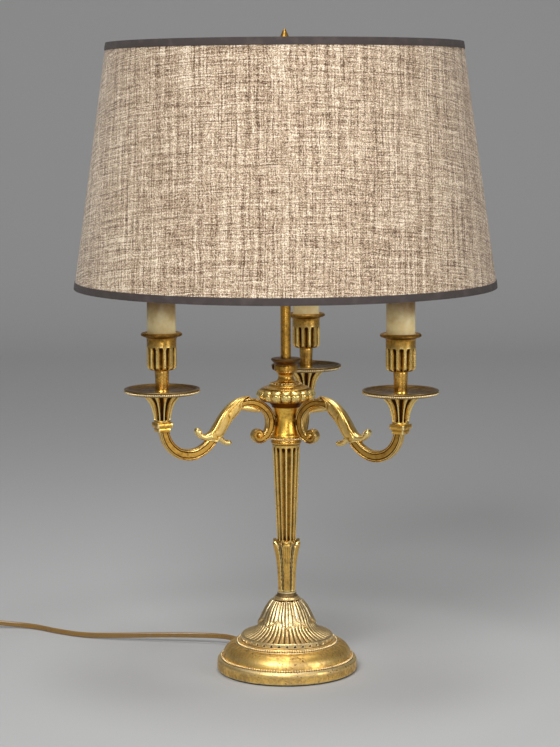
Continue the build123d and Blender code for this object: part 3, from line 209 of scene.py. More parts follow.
# shader groups: each gives a colour, a roughness and a height in millimetres
def buildAgedMetal():
    # brass and bronze: worn edges with painted highlight, dirt and painted shade in grooves, clouded patina, small
    # dark pits
    tree, given, result = newGroup("agedMetal", {
        "Body": (0.62, 0.35, 0.08, 1), "Bright": (0.95, 0.78, 0.42, 1), "Dark": (0.10, 0.05, 0.015, 1),
        "Patina": 0.5, "Pits": 0.5, "Wear And Highlight": 0.8, "Gloss": 0.3})
    place = objectMillimetres(tree)
    relief = addNode(tree, "ShaderNodeAttribute", attribute_name="relief").outputs["Fac"]
    # raised relief and lighter bands: edge wear and painted highlight; sunk relief and darker bands: dirt and painted
    # shade
    raised = calc("MULTIPLY", calc("MAXIMUM", relief, 0.0), given["Wear And Highlight"], clamp=True)
    grooveDirtAndShade = calc("MULTIPLY", calc("MAXIMUM", calc("MULTIPLY", relief, -1.0), 0.0), 1.9, clamp=True)
    cloud = noise(place, 0.06, 3.0, 0.6)
    mottle = noise(place, 0.33, 4.0, 0.6)
    grain = noise(place, 2.2, 3.0, 0.6)
    stain = calc("ADD", calc("MULTIPLY_ADD", cloud, 0.55, calc("MULTIPLY", mottle, 0.45)),
                 calc("MULTIPLY_ADD", given["Patina"], 0.3, -0.15))
    stain = stepBetween(stain, 0.44, 0.64)
    colour = mixColour(calc("MULTIPLY", stain, 0.6), given["Body"], given["Dark"])
    colour = mixColour(calc("MULTIPLY", stepBetween(grain, 0.5, 0.75), 0.18), colour, given["Dark"])
    colour = mixColour(raised, colour, given["Bright"])
    colour = mixColour(grooveDirtAndShade, colour, given["Dark"])
    spots = addNode(tree, "ShaderNodeTexVoronoi", {"Vector": place, "Scale": 0.42}).outputs["Distance"]
    pit = calc("MULTIPLY", calc("SUBTRACT", 1.0, stepBetween(spots, 0.1, 0.3)),
               stepBetween(noise(place, 0.12, 1.0), 0.54, 0.62))
    patch = calc("MULTIPLY", stepBetween(noise(place, 0.5, 3.0), 0.62, 0.68),
                 stepBetween(noise(place, 0.05, 1.0), 0.5, 0.6))
    pit = calc("MULTIPLY", calc("MAXIMUM", pit, patch), given["Pits"], clamp=True)
    colour = mixColour(pit, colour, given["Dark"])
    rough = calc("MULTIPLY_ADD", stain, 0.16, given["Gloss"])
    rough = calc("MULTIPLY_ADD", grooveDirtAndShade, 0.25, rough)
    rough = calc("MULTIPLY_ADD", grain, 0.10, calc("SUBTRACT", rough, 0.05), clamp=True)
    height = calc("MULTIPLY_ADD", mottle, 0.10, calc("MULTIPLY", grain, 0.03))
    giveSurface(result, colour, rough, calc("MULTIPLY_ADD", pit, -0.2, height))
    return tree


def buildLinen():
    # plain linen: slubbed threads both ways over a square weave
    tree, given, result = newGroup("linenWeave", {
        "Cloth": (0.5, 0.41, 0.31, 1), "Shade Thread": (0.2, 0.14, 0.09, 1), "Light Thread": (0.8, 0.72, 0.6, 1),
        "Pitch": 0.95, "Slub": 1.0})
    flat, parts = uvMillimetres(tree, "cloth")
    wander = noise(flat, 0.03, 2.0)
    u = calc("MULTIPLY_ADD", wander, 5.0, parts[0])
    v = calc("MULTIPLY_ADD", wander, -5.0, parts[1])

    def threadNoise(along, across, length, pitch, shift):
        vector = addNode(tree, "ShaderNodeCombineXYZ", {
            0: calc("DIVIDE", along, length), 1: calc("DIVIDE", across, pitch), 2: shift}).outputs[0]
        return calc("SUBTRACT", noise(vector, 1.0, 1.0, 0.5), 0.5)

    def wave(value):
        turns = calc("DIVIDE", value, given["Pitch"])
        return calc("MULTIPLY_ADD", calc("SINE", calc("MULTIPLY", turns, tau)), 0.5, 0.5)

    # long threads each way, wider bands of heavier yarn, short slubs, and the speckle where threads cross
    tone = threadNoise(u, v, 70.0, 1.2, 3.1)
    for along, across, length, pitch, shift, weight in (
            (v, u, 90.0, 1.25, 8.7, 1.05), (u, v, 140.0, 4.0, 15.2, 0.2), (v, u, 160.0, 5.0, 21.4, 0.4),
            (u, v, 14.0, 1.1, 27.9, 0.8), (v, u, 11.0, 1.1, 33.3, 0.7), (u, v, 0.85, 0.85, 40.6, 2.2)):
        tone = calc("MULTIPLY_ADD", threadNoise(along, across, length, pitch, shift), weight, tone)
    tone = calc("MULTIPLY", tone, given["Slub"])
    weave = calc("MULTIPLY", wave(u), wave(v))
    colour = mixColour(stepBetween(tone, 0.06, 0.62), given["Cloth"], given["Light Thread"])
    colour = mixColour(stepBetween(calc("MULTIPLY", tone, -1.0), -0.02, 0.52), colour, given["Shade Thread"])
    height = calc("MULTIPLY_ADD", weave, 0.08, calc("MULTIPLY", tone, 0.22))
    giveSurface(result, colour, calc("MULTIPLY_ADD", tone, 0.06, 0.86), height)
    return tree


def buildRibbon():
    # a woven edge ribbon: fine ribs across it, a little fuzz and lighter worn patches
    tree, given, result = newGroup("ribbonWeave", {
        "Body": (0.1, 0.09, 0.1, 1), "Light": (0.2, 0.18, 0.19, 1), "Rib Pitch": 0.7})
    flat, parts = uvMillimetres(tree, "cloth")
    turns = calc("DIVIDE", parts[0], given["Rib Pitch"])
    rib = calc("MULTIPLY_ADD", calc("SINE", calc("MULTIPLY", turns, tau)), 0.5, 0.5)
    fuzz = noise(flat, 1.1, 3.0, 0.6)
    worn = noise(flat, 0.08, 2.0, 0.5)
    colour = mixColour(calc("MULTIPLY", rib, calc("MULTIPLY_ADD", fuzz, 0.6, 0.1)), given["Body"], given["Light"])
    colour = mixColour(calc("MULTIPLY", stepBetween(worn, 0.45, 0.7), 0.4), colour, given["Light"])
    giveSurface(result, colour, calc("MULTIPLY_ADD", fuzz, 0.2, 0.62),
                calc("MULTIPLY_ADD", rib, 0.10, calc("MULTIPLY", fuzz, 0.05)))
    return tree


def buildMouldedSurface():
    # plastic, card, wax-coloured sleeves, felt and rubber: a soft two-tone mottle over a fine grain, and a painted
    # shadow that darkens it above a given level
    tree, given, result = newGroup("mouldedSurface", {
        "Body": (0.5, 0.5, 0.5, 1), "Tone": (0.4, 0.4, 0.4, 1), "Mottle Size": 12.0, "Grain Size": 0.5,
        "Grain Depth": 0.02, "Gloss": 0.4, "Painted Shadow": 0.0, "Painted Shadow From": 0.0, "Painted Shadow To": 1.0,
        "Painted Shadow Tone": (0.2, 0.1, 0.03, 1)})
    place = objectMillimetres(tree)
    mottle = noise(place, calc("DIVIDE", 1.0, given["Mottle Size"]), 4.0, 0.55)
    grain = noise(place, calc("DIVIDE", 1.0, given["Grain Size"]), 3.0, 0.6)
    blend = calc("MULTIPLY_ADD", stepBetween(mottle, 0.35, 0.7), 0.8, calc("MULTIPLY", grain, 0.2))
    colour = mixColour(blend, given["Body"], given["Tone"])
    # painted shadow: darker upwards between two levels, with a wavy edge from the mottle
    level = addNode(tree, "ShaderNodeSeparateXYZ", {0: place}).outputs[2]
    level = calc("MULTIPLY_ADD", calc("SUBTRACT", mottle, 0.5), 14.0, level)
    paintedShadow = stepBetween(level, given["Painted Shadow From"], given["Painted Shadow To"])
    colour = mixColour(calc("MULTIPLY", paintedShadow, given["Painted Shadow"]), colour, given["Painted Shadow Tone"])
    giveSurface(result, colour, calc("MULTIPLY_ADD", grain, 0.14, given["Gloss"]),
                calc("MULTIPLY", grain, given["Grain Depth"]))
    return tree


def buildTwistedCore():
    # clear gold insulation over a twisted copper core, which shows as slanting streaks along the flex
    tree, given, result = newGroup("twistedCore", {
        "Body": (0.5, 0.32, 0.1, 1), "Strand": (0.8, 0.6, 0.3, 1), "Lay": 5.0})
    flat = addNode(tree, "ShaderNodeUVMap", uv_map="flex").outputs[0]
    parts = addNode(tree, "ShaderNodeSeparateXYZ", {0: flat}).outputs
    slant = calc("ADD", calc("DIVIDE", calc("MULTIPLY", parts[0], 1000.0), given["Lay"]),
                 calc("MULTIPLY", parts[1], 2.0))
    strand = calc("MULTIPLY_ADD", calc("SINE", calc("MULTIPLY", slant, tau * 2)), 0.5, 0.5)
    cloud = noise(objectMillimetres(tree), 0.1, 2.0)
    colour = mixColour(calc("MULTIPLY", strand, 0.45), given["Body"], given["Strand"])
    colour = mixColour(calc("MULTIPLY", stepBetween(cloud, 0.45, 0.7), 0.35), colour, given["Body"])
    giveSurface(result, colour, calc("MULTIPLY_ADD", cloud, 0.12, 0.2), calc("MULTIPLY", strand, 0.02))
    return tree


agedMetal = buildAgedMetal()
linenWeave = buildLinen()
ribbonWeave = buildRibbon()
mouldedSurface = buildMouldedSurface()
twistedCore = buildTwistedCore()


def newMaterial(name, group, look, shader, bump=1.0):
    material = bpy.data.materials.new(name)
    material.use_nodes = True
    tree = material.node_tree
    tree.nodes.clear()
    surface = addNode(tree, "ShaderNodeBsdfPrincipled", shader)
    tree.links.new(surface.outputs[0], tree.nodes.new("ShaderNodeOutputMaterial").inputs[0])
    pattern = tree.nodes.new("ShaderNodeGroup")
    pattern.node_tree = group
    for key, value in look.items():
        pattern.inputs[key].default_value = value
    relief = addNode(tree, "ShaderNodeBump", {"Height": pattern.outputs["Height"], "Distance": mm,
                                              "Strength": bump})
    tree.links.new(pattern.outputs["Color"], surface.inputs["Base Color"])
    tree.links.new(pattern.outputs["Roughness"], surface.inputs["Roughness"])
    tree.links.new(relief.outputs[0], surface.inputs["Normal"])
    return material


def rgb(red, green, blue):
    # a colour written as 0 to 255 on screen, as the linear value that a shader takes
    def linear(value):
        value /= 255
        return value / 12.92 if value <= 0.04045 else ((value + 0.055) / 1.055) ** 2.4
    return (linear(red), linear(green), linear(blue), 1)


def metal(name, body, bright, dark, patina, pits, gloss, wearAndHighlight=0.8):
    return newMaterial(name, agedMetal, {
        "Body": rgb(*body), "Bright": rgb(*bright), "Dark": rgb(*dark), "Patina": patina, "Pits": pits,
        "Wear And Highlight": wearAndHighlight, "Gloss": gloss}, {"Metallic": 1.0, "Specular IOR Level": 0.5})


def moulded(name, body, tone, mottle, gloss, grain=0.5, grainDepth=0.02, shader=None, more=None):
    return newMaterial(name, mouldedSurface, {
        "Body": rgb(*body), "Tone": rgb(*tone), "Mottle Size": mottle, "Grain Size": grain,
        "Grain Depth": grainDepth, "Gloss": gloss, **(more or {})}, shader)


# body, worn edges with painted highlight, and dirt with painted shade as screen colours, then patina, pits and gloss
giltBrass = metal("giltBrass", (228, 174, 78), (255, 230, 150), (60, 34, 10), 0.56, 0.5, 0.26)
footBrass = metal("footBrass", (255, 206, 98), (255, 240, 190), (112, 62, 18), 0.66, 1.0, 0.38)
warmBrass = metal("warmBrass", (255, 204, 86), (255, 232, 150), (112, 62, 12), 0.36, 0.5, 0.3)
beadBrass = metal("beadBrass", (250, 226, 174), (255, 244, 214), (120, 84, 40), 0.3, 0.0, 0.34)
leafBrass = metal("leafBrass", (232, 202, 142), (255, 240, 200), (60, 36, 12), 0.35, 0.2, 0.38, wearAndHighlight=0.9)
armBrass = metal("armBrass", (244, 192, 92), (255, 236, 168), (84, 46, 12), 0.4, 0.3, 0.29)
darkBronze = metal("darkBronze", (104, 74, 40), (170, 130, 76), (40, 26, 14), 0.5, 0.2, 0.34)
dishBrass = metal("dishBrass", (128, 98, 50), (248, 228, 176), (52, 38, 18), 0.55, 0.3, 0.3)
zincSteel = metal("zincSteel", (168, 168, 170), (214, 214, 214), (92, 92, 92), 0.3, 0.2, 0.32)
platedPin = metal("platedPin", (200, 196, 186), (230, 228, 222), (120, 114, 102), 0.2, 0.0, 0.2)

# body and tone as screen colours, the size of the mottle in millimetres, then gloss
# the sleeves darken towards the top as a painted shadow of the lampshade
ivorySleeve = moulded("ivorySleeve", (254, 238, 186), (234, 204, 138), 16.0, 0.38, grain=0.9, grainDepth=0.03,
                      shader={"Coat Weight": 0.15, "Coat Roughness": 0.25},
                      more={"Painted Shadow": 0.92, "Painted Shadow From": 338.0, "Painted Shadow To": 366.0, "Painted Shadow Tone": rgb(104, 70, 26)})
blackThermoset = moulded("blackThermoset", (34, 31, 30), (46, 42, 40), 6.0, 0.3)
leadInsulation = moulded("leadInsulation", (206, 196, 172), (180, 168, 142), 8.0, 0.45)
whiteWire = moulded("whiteWire", (226, 222, 212), (200, 194, 180), 9.0, 0.36, grain=0.6)
shadeLiner = moulded("shadeLiner", (232, 226, 212), (222, 212, 190), 30.0, 0.55, grain=0.35)
feltCloth = moulded("feltCloth", (52, 56, 44), (34, 38, 30), 3.0, 0.85, grain=0.35, grainDepth=0.25,
                    shader={"Sheen Weight": 0.3})
switchPlastic = moulded("switchPlastic", (176, 140, 78), (160, 124, 66), 14.0, 0.32, grain=0.4, grainDepth=0.03)
rockerPlastic = moulded("rockerPlastic", (120, 92, 48), (104, 80, 42), 8.0, 0.28, grain=0.4, grainDepth=0.03)
cordTie = moulded("cordTie", (40, 38, 36), (54, 50, 46), 2.0, 0.6, grain=0.3, grainDepth=0.08)
linenCloth = newMaterial("linenCloth", linenWeave, {
    "Cloth": rgb(184, 159, 131), "Shade Thread": rgb(86, 60, 40), "Light Thread": rgb(248, 232, 208), "Slub": 1.1},
    {"Sheen Weight": 0.15, "Sheen Roughness": 0.5})
edgeRibbon = newMaterial("edgeRibbon", ribbonWeave, {
    "Body": rgb(46, 38, 36), "Light": rgb(88, 76, 72)}, {"Sheen Weight": 0.05})
goldFlex = newMaterial("goldFlex", twistedCore, {
    "Body": rgb(112, 82, 34), "Strand": rgb(186, 146, 78)}, {"Coat Weight": 0.5, "Coat Roughness": 0.12})
lampGlass = newMaterial("lampGlass", mouldedSurface, {
    "Body": (1, 1, 1, 1), "Tone": (0.98, 0.98, 0.98, 1), "Grain Depth": 0.0, "Gloss": 0.0},
    {"Transmission Weight": 1.0, "IOR": 1.45}, bump=0.0)
print("materials:", len(bpy.data.materials))


# mesh helpers: a form is a pair of points in millimetres and faces
creaseAngle = 38


def softLine(points, step):
    # a profile whose corners are eased by the third number of a point, cut into short runs
    eased = []
    for index, point in enumerate(points):
        here = np.array(point[:2], float)
        if len(point) > 2 and 0 < index < len(points) - 1:
            before = np.array(points[index - 1][:2], float) - here
            after = np.array(points[index + 1][:2], float) - here
            start = here + before * min(0.5, point[2] / np.linalg.norm(before))
            end = here + after * min(0.5, point[2] / np.linalg.norm(after))
            for t in np.linspace(0, 1, 6):
                eased.append((1 - t) ** 2 * start + 2 * t * (1 - t) * here + t * t * end)
        else:
            eased.append(here)
    line = [eased[0]]
    for point in eased[1:]:
        gap = np.linalg.norm(point - line[-1])
        if gap < 1e-5:
            continue
        start = line[-1]
        count = max(1, ceil(gap / step))
        for k in range(1, count + 1):
            line.append(start + (point - start) * k / count)
    return np.array(line)


def leftNormals(line):
    along = np.gradient(line, axis=0)
    along /= np.maximum(np.linalg.norm(along, axis=1), 1e-9)[:, None]
    return np.stack([-along[:, 1], along[:, 0]], 1)


def gridFaces(rows, columns, closeRows=False, closeColumns=False, start=0):
    i, j = np.meshgrid(np.arange(rows if closeRows else rows - 1),
                       np.arange(columns if closeColumns else columns - 1), indexing="ij")
    nextI, nextJ = (i + 1) % rows, (j + 1) % columns
    quads = np.stack([i * columns + j, nextI * columns + j, nextI * columns + nextJ, i * columns + nextJ], -1)
    return (quads.reshape(-1, 4) + start).tolist()


def tubeFaces(rows, columns, firstReversed=True):
    # a row of rings with a face over each end
    ends = [list(range(columns)), [(rows - 1) * columns + k for k in range(columns)]]
    ends[0 if firstReversed else 1].reverse()
    return gridFaces(rows, columns, False, True) + ends


def turnedForm(shown, hidden=(), segments=128, step=1.0, relief=None, centre=(0, 0)):
    # the shown line runs up the outside and carries the relief, and the hidden points lead back down the inside
    front = softLine(shown, step)
    normal = -leftNormals(front)
    line = np.vstack([front, np.array(hidden, float).reshape(-1, 2)])
    angle = np.arange(segments) * tau / segments
    radius = np.repeat(line[None, :, 0], segments, 0)
    level = np.repeat(line[None, :, 1], segments, 0)
    if relief:
        depth = relief(angle[:, None], front[None, :, 0], front[None, :, 1])
        radius[:, :len(front)] += depth * normal[None, :, 0]
        level[:, :len(front)] += depth * normal[None, :, 1]
    points = np.stack([centre[0] + radius * np.cos(angle)[:, None],
                       centre[1] + radius * np.sin(angle)[:, None], level], -1)
    return points.reshape(-1, 3), gridFaces(segments, len(line), True, True)


def joinForms(forms):
    faces, offset = [], 0
    for points, formFaces in forms:
        faces += [[index + offset for index in face] for face in formFaces]
        offset += len(points)
    return np.vstack([points for points, formFaces in forms]), faces


def faceOutwards(mesh, weld=None):
    work = bmesh.new()
    work.from_mesh(mesh)
    if weld:
        bmesh.ops.remove_doubles(work, verts=work.verts, dist=weld)
    bmesh.ops.recalc_face_normals(work, faces=work.faces)
    work.to_mesh(mesh)
    work.free()


def makePiece(name, forms, material, smooth=creaseAngle, relief=None, fixNormals=True):
    mesh = bpy.data.meshes.new(name)
    if forms:
        points, faces = joinForms(forms)
        mesh.from_pydata((points * mm).tolist(), [], faces)
    if fixNormals and forms:
        faceOutwards(mesh, weld=1e-7)
    mesh.materials.append(material)
    mesh.shade_smooth()
    if smooth:
        mesh.set_sharp_from_angle(angle=radians(smooth))
    piece = bpy.data.objects.new(name, mesh)
    scene.collection.objects.link(piece)
    if relief:
        markRelief(piece, *relief)
    return piece


def markRelief(piece, passes, reach):
    # how far each point stands out of the smoothed surface, for the wear and painted highlight on edges and the dirt
    # in grooves; it fades where the mesh is coarse
    coarse = 2.2
    mesh = piece.data
    count = len(mesh.vertices)
    place, normal = np.empty(count * 3), np.empty(count * 3)
    mesh.vertices.foreach_get("co", place)
    mesh.vertices.foreach_get("normal", normal)
    place, normal = place.reshape(-1, 3) / mm, normal.reshape(-1, 3)
    edges = np.empty(len(mesh.edges) * 2, int)
    mesh.edges.foreach_get("vertices", edges)
    a, b = edges.reshape(-1, 2).T
    share = np.maximum(np.bincount(a, minlength=count) + np.bincount(b, minlength=count), 1)
    soft = place.copy()
    for _ in range(passes):
        for axis in range(3):
            value = soft[:, axis]
            around = np.bincount(a, value[b], count) + np.bincount(b, value[a], count)
            soft[:, axis] = 0.5 * value + 0.5 * around / share
    long = np.linalg.norm(place[a] - place[b], axis=1)
    long = (np.bincount(a, long, count) + np.bincount(b, long, count)) / share
    value = np.clip(((place - soft) * normal).sum(1) / reach, -1, 1) * np.clip(coarse - long, 0, 1)
    layer = mesh.attributes.get("relief") or mesh.attributes.new("relief", "FLOAT", "POINT")
    layer.data.foreach_set("value", value.astype(np.float32))


def tintBands(piece, bands, centre=(0, 0)):
    # painted shade (below 0) or painted highlight (above 0) in bands given by radius and level; the highlight leaves
    # the grooves dark
    groove = -0.15
    mesh = piece.data
    place = np.empty(len(mesh.vertices) * 3)
    mesh.vertices.foreach_get("co", place)
    place = place.reshape(-1, 3) / mm
    radius = np.hypot(place[:, 0] - centre[0], place[:, 1] - centre[1])
    layer = mesh.attributes.get("relief") or mesh.attributes.new("relief", "FLOAT", "POINT")
    value = np.empty(len(place), np.float32)
    layer.data.foreach_get("value", value)
    for inner, outer, low, high, amount in bands:
        inside = (radius > inner) & (radius < outer) & (place[:, 2] > low) & (place[:, 2] < high)
        value[inside & ((value > groove) | (amount < 0))] = amount
    layer.data.foreach_set("value", value)


# geometry node trees for what repeats
def endTree(tree, geometry, given, result, smooth=True):
    made = addNode(tree, "GeometryNodeRealizeInstances", {0: geometry}).outputs[0]
    if smooth:
        made = addNode(tree, "GeometryNodeSetShadeSmooth", {"Geometry": made}).outputs[0]
    made = addNode(tree, "GeometryNodeSetMaterial", {"Geometry": made, "Material": given["Material"]}).outputs[0]
    tree.links.new(made, result["Geometry"])


def buildBeadRing():
    # small round beads set on a level circle
    tree, given, result = newGroup("beadRing", {
        "Geometry": "Geometry", "Count": 40, "Ring Radius": 0.03, "Level": 0.0, "Bead Radius": 0.001,
        "Centre X": 0.0, "Centre Y": 0.0, "Material": "Material"}, "GeometryNodeTree")
    ring = addNode(tree, "GeometryNodeMeshCircle", {"Vertices": given["Count"], "Radius": given["Ring Radius"]})
    shift = addNode(tree, "ShaderNodeCombineXYZ", {0: given["Centre X"], 1: given["Centre Y"], 2: given["Level"]})
    placed = addNode(tree, "GeometryNodeTransform", {"Geometry": ring.outputs[0], "Translation": shift.outputs[0]})
    bead = addNode(tree, "GeometryNodeMeshUVSphere", {"Segments": 10, "Rings": 7, "Radius": given["Bead Radius"]})
    beads = addNode(tree, "GeometryNodeInstanceOnPoints", {"Points": placed.outputs[0], "Instance": bead.outputs[0]})
    endTree(tree, beads.outputs[0], given, result)
    return tree


def buildAround():
    # copies of the given geometry turned about the stand's axis
    tree, given, result = newGroup("aroundAxis", {
        "Geometry": "Geometry", "Count": 8, "Turn": 0.0, "Material": "Material"}, "GeometryNodeTree")
    spots = addNode(tree, "GeometryNodeMeshLine", {"Count": given["Count"], "Offset": (0, 0, 0)})
    index = addNode(tree, "GeometryNodeInputIndex").outputs[0]
    angle = calc("ADD", calc("DIVIDE", calc("MULTIPLY", index, tau), given["Count"]), given["Turn"])
    spin = addNode(tree, "FunctionNodeEulerToRotation", {
        0: addNode(tree, "ShaderNodeCombineXYZ", {2: angle}).outputs[0]}).outputs[0]
    copies = addNode(tree, "GeometryNodeInstanceOnPoints", {
        "Points": spots.outputs[0], "Instance": given["Geometry"], "Rotation": spin})
    endTree(tree, copies.outputs[0], given, result, smooth=False)
    return tree


def buildFlutes():
    # round-ended hollows with raised lips, cut into a turned surface between two levels
    tree, given, result = newGroup("fluteRing", {
        "Geometry": "Geometry", "Count": 14.0, "Depth": 0.001, "Share": 0.7, "Low": 0.0, "High": 0.1, "Lip": 0.0,
        "Inside": 0.0, "Turn": 0.5, "Centre X": 0.0, "Centre Y": 0.0, "Material": "Material"}, "GeometryNodeTree")
    position = addNode(tree, "GeometryNodeInputPosition").outputs[0]
    place = addNode(tree, "ShaderNodeSeparateXYZ", {0: position}).outputs
    x = calc("SUBTRACT", place[0], given["Centre X"])
    y = calc("SUBTRACT", place[1], given["Centre Y"])
    radius = calc("SQRT", calc("ADD", calc("MULTIPLY", x, x), calc("MULTIPLY", y, y)))
    turns = calc("DIVIDE", calc("MULTIPLY", calc("ARCTAN2", y, x), given["Count"]), tau)
    turns = calc("FRACT", calc("ADD", turns, given["Turn"]))
    across = calc("DIVIDE", calc("MULTIPLY", calc("SUBTRACT", turns, 0.5), 2.0), given["Share"])
    half = calc("MULTIPLY", calc("DIVIDE", calc("MULTIPLY", radius, pi), given["Count"]), given["Share"])

    def beyond(gap):
        return calc("SUBTRACT", 1.0, calc("DIVIDE", gap, half))

    end = calc("MAXIMUM", beyond(calc("SUBTRACT", given["High"], place[2])),
               beyond(calc("SUBTRACT", place[2], given["Low"])))
    end = calc("MAXIMUM", end, 0.0)
    apart = calc("SQRT", calc("ADD", calc("MULTIPLY", across, across), calc("MULTIPLY", end, end)))
    hollow = calc("SQRT", calc("MAXIMUM", calc("SUBTRACT", 1.0, calc("MULTIPLY", apart, apart)), 0.0))
    fromLip = calc("DIVIDE", calc("ABSOLUTE", calc("SUBTRACT", apart, 1.12)), 0.22)
    lip = stepBetween(calc("SUBTRACT", 1.0, fromLip), 0.0, 1.0)
    offset = calc("SUBTRACT", calc("MULTIPLY", lip, given["Lip"]), calc("MULTIPLY", hollow, given["Depth"]))
    offset = calc("MULTIPLY", offset, calc("GREATER_THAN", radius, given["Inside"]))
    offset = calc("DIVIDE", offset, calc("MAXIMUM", radius, 1e-6))
    move = addNode(tree, "ShaderNodeCombineXYZ", {
        0: calc("MULTIPLY", x, offset), 1: calc("MULTIPLY", y, offset)}).outputs[0]
    moved = addNode(tree, "GeometryNodeSetPosition", {"Geometry": given["Geometry"], "Offset": move}).outputs[0]
    endTree(tree, moved, given, result, smooth=False)
    return tree


beadRing, aroundAxis, fluteRing = buildBeadRing(), buildAround(), buildFlutes()


def applyTree(piece, tree, values):
    modifier = piece.modifiers.new("nodes", "NODES")
    modifier.node_group = tree
    sockets = {item.name: item.identifier for item in tree.interface.items_tree if item.in_out == "INPUT"}
    for label, value in values.items():
        modifier[sockets[label]] = value
    view = bpy.context.evaluated_depsgraph_get()
    mesh = bpy.data.meshes.new_from_object(piece.evaluated_get(view), depsgraph=view)
    old = piece.data
    mesh.name = old.name
    piece.modifiers.clear()
    piece.data = mesh
    bpy.data.meshes.remove(old)
    return piece


dressed = []


def dress(piece, body, *nodes):
    # every piece is taken up here once, and handed to the frame when all of them are made
    dressed.append((piece, body, nodes))
    return piece


def turnedPiece(name, node, shown, hidden, material, segments, step, wearAndHighlight=None, relief=None, centre=(0, 0),
                body="stand"):
    piece = makePiece(name, [turnedForm(shown, hidden, segments, step, relief, centre)], material, relief=wearAndHighlight,
                      fixNormals=False)
    return dress(piece, body, node)


def beadPiece(name, s, centre=(0, 0)):
    piece = makePiece(name, [], beadBrass, smooth=None, fixNormals=False)
    applyTree(piece, beadRing, {"Count": s["count"], "Ring Radius": s["ringRadius"] * mm, "Level": s["level"] * mm,
                                "Bead Radius": s["beadRadius"] * mm, "Centre X": centre[0] * mm,
                                "Centre Y": centre[1] * mm, "Material": beadBrass})
    dress(piece, "stand")


def cutFlutes(piece, s, centre=(0, 0)):
    applyTree(piece, fluteRing, {
        "Count": float(s["count"]), "Depth": s["depth"] * mm, "Share": s["share"], "Low": s["low"] * mm,
        "High": s["high"] * mm, "Lip": s["lip"] * mm, "Inside": s["inside"] * mm, "Turn": 0.5,
        "Centre X": centre[0] * mm, "Centre Y": centre[1] * mm, "Material": giltBrass})
    piece.data.set_sharp_from_angle(angle=radians(creaseAngle))
    markRelief(piece, *s["wearAndHighlight"])


# a leaf laid on a turned surface: its midline is a profile, and its lobes lean towards the tip
def leafForm(midline, widths, s, side=1, rows=56, columns=18):
    line = softLine(midline, 0.3)
    run = np.concatenate([[0], np.cumsum(np.linalg.norm(np.diff(line, axis=0), axis=1))])
    run /= run[-1]
    normal = side * leftNormals(line)
    v = np.linspace(0, 1, rows + 1)[:, None]
    u = np.linspace(-1, 1, columns + 1)[None, :]
    edge = np.interp(v[:, 0], [w[0] for w in widths], [w[1] for w in widths])
    edge = np.convolve(np.pad(edge, 1, mode="edge"), [0.2, 0.6, 0.2], mode="valid")[:, None]
    phase = pi * (s["lobes"] * v)
    edge = edge * (1 - s["notch"] * (1 - np.abs(np.sin(phase)) ** 0.6) * np.clip((1 - v) / 0.12, 0, 1))
    reach = v + s["lean"] * np.abs(u) ** 1.5 * (1 - v) * np.clip(v / 0.15, 0, 1)
    vein = pi * (s["lobes"] * (v + s["veinLean"] * (1 - np.abs(u))))
    crown = s["thick"] * (1 - 0.45 * u ** 2) * (1 - s["veinDepth"] * (1 - np.abs(np.sin(vein)) ** 0.7))
    crown = crown + s["rib"] * np.exp(-(u / 0.1) ** 2) - s["furrow"] * np.exp(-((np.abs(u) - 0.24) / 0.09) ** 2)
    if s.get("rays"):
        across = u * np.where(v < s["rayTurn"], 1.0, edge / edge.max())
        crown = crown * (1 - s["rayDepth"] * (1 - np.abs(np.cos(pi * s["rays"] * across)) ** 0.6))
    crown = crown * np.clip((1 - v) / 0.06, 0.35, 1)
    reach = np.clip(reach, 0, 1)
    forms = []
    for height in (crown, np.full_like(crown, -s["bury"])):
        radius = np.interp(reach, run, line[:, 0]) + height * np.interp(reach, run, normal[:, 0])
        level = np.interp(reach, run, line[:, 1]) + height * np.interp(reach, run, normal[:, 1])
        angle = (u * edge) / np.interp(reach, run, line[:, 0])
        forms.append(np.stack([radius * np.sin(angle), -radius * np.cos(angle), level], -1).reshape(-1, 3))
    return shellForm(forms[0], forms[1], rows + 1, columns + 1)


def shellForm(top, bottom, rows, columns):
    # two facing grids closed along their shared edges
    count = rows * columns
    faces = gridFaces(rows, columns) + [face[::-1] for face in gridFaces(rows, columns, start=count)]
    border = ([j for j in range(columns)] + [i * columns + columns - 1 for i in range(1, rows)]
              + [(rows - 1) * columns + j for j in range(columns - 2, -1, -1)]
              + [i * columns for i in range(rows - 2, 0, -1)])
    for a, b in zip(border, border[1:] + border[:1]):
        faces.append([a, b, b + count, a + count])
    return np.vstack([top, bottom]), faces


def leafRing(name, midline, widths, s, material, side=1, rows=56, columns=18):
    leaf = makePiece(name, [leafForm(midline, widths, s, side, rows, columns)], material, smooth=60,
                     relief=s.get("relief", (8, 0.22)))
    return applyTree(leaf, aroundAxis, {"Count": s["count"], "Turn": radians(s["turn"]), "Material": material})


# base: foot, bead rings, bell with its leaves, collar
footSettings = {
    "segments": 256,
    "lowBeads": {"count": 160, "ringRadius": 63.4, "level": 13.9, "beadRadius": 1.16},
    "highBeads": {"count": 126, "ringRadius": 48.1, "level": 28.6, "beadRadius": 1.1},
}


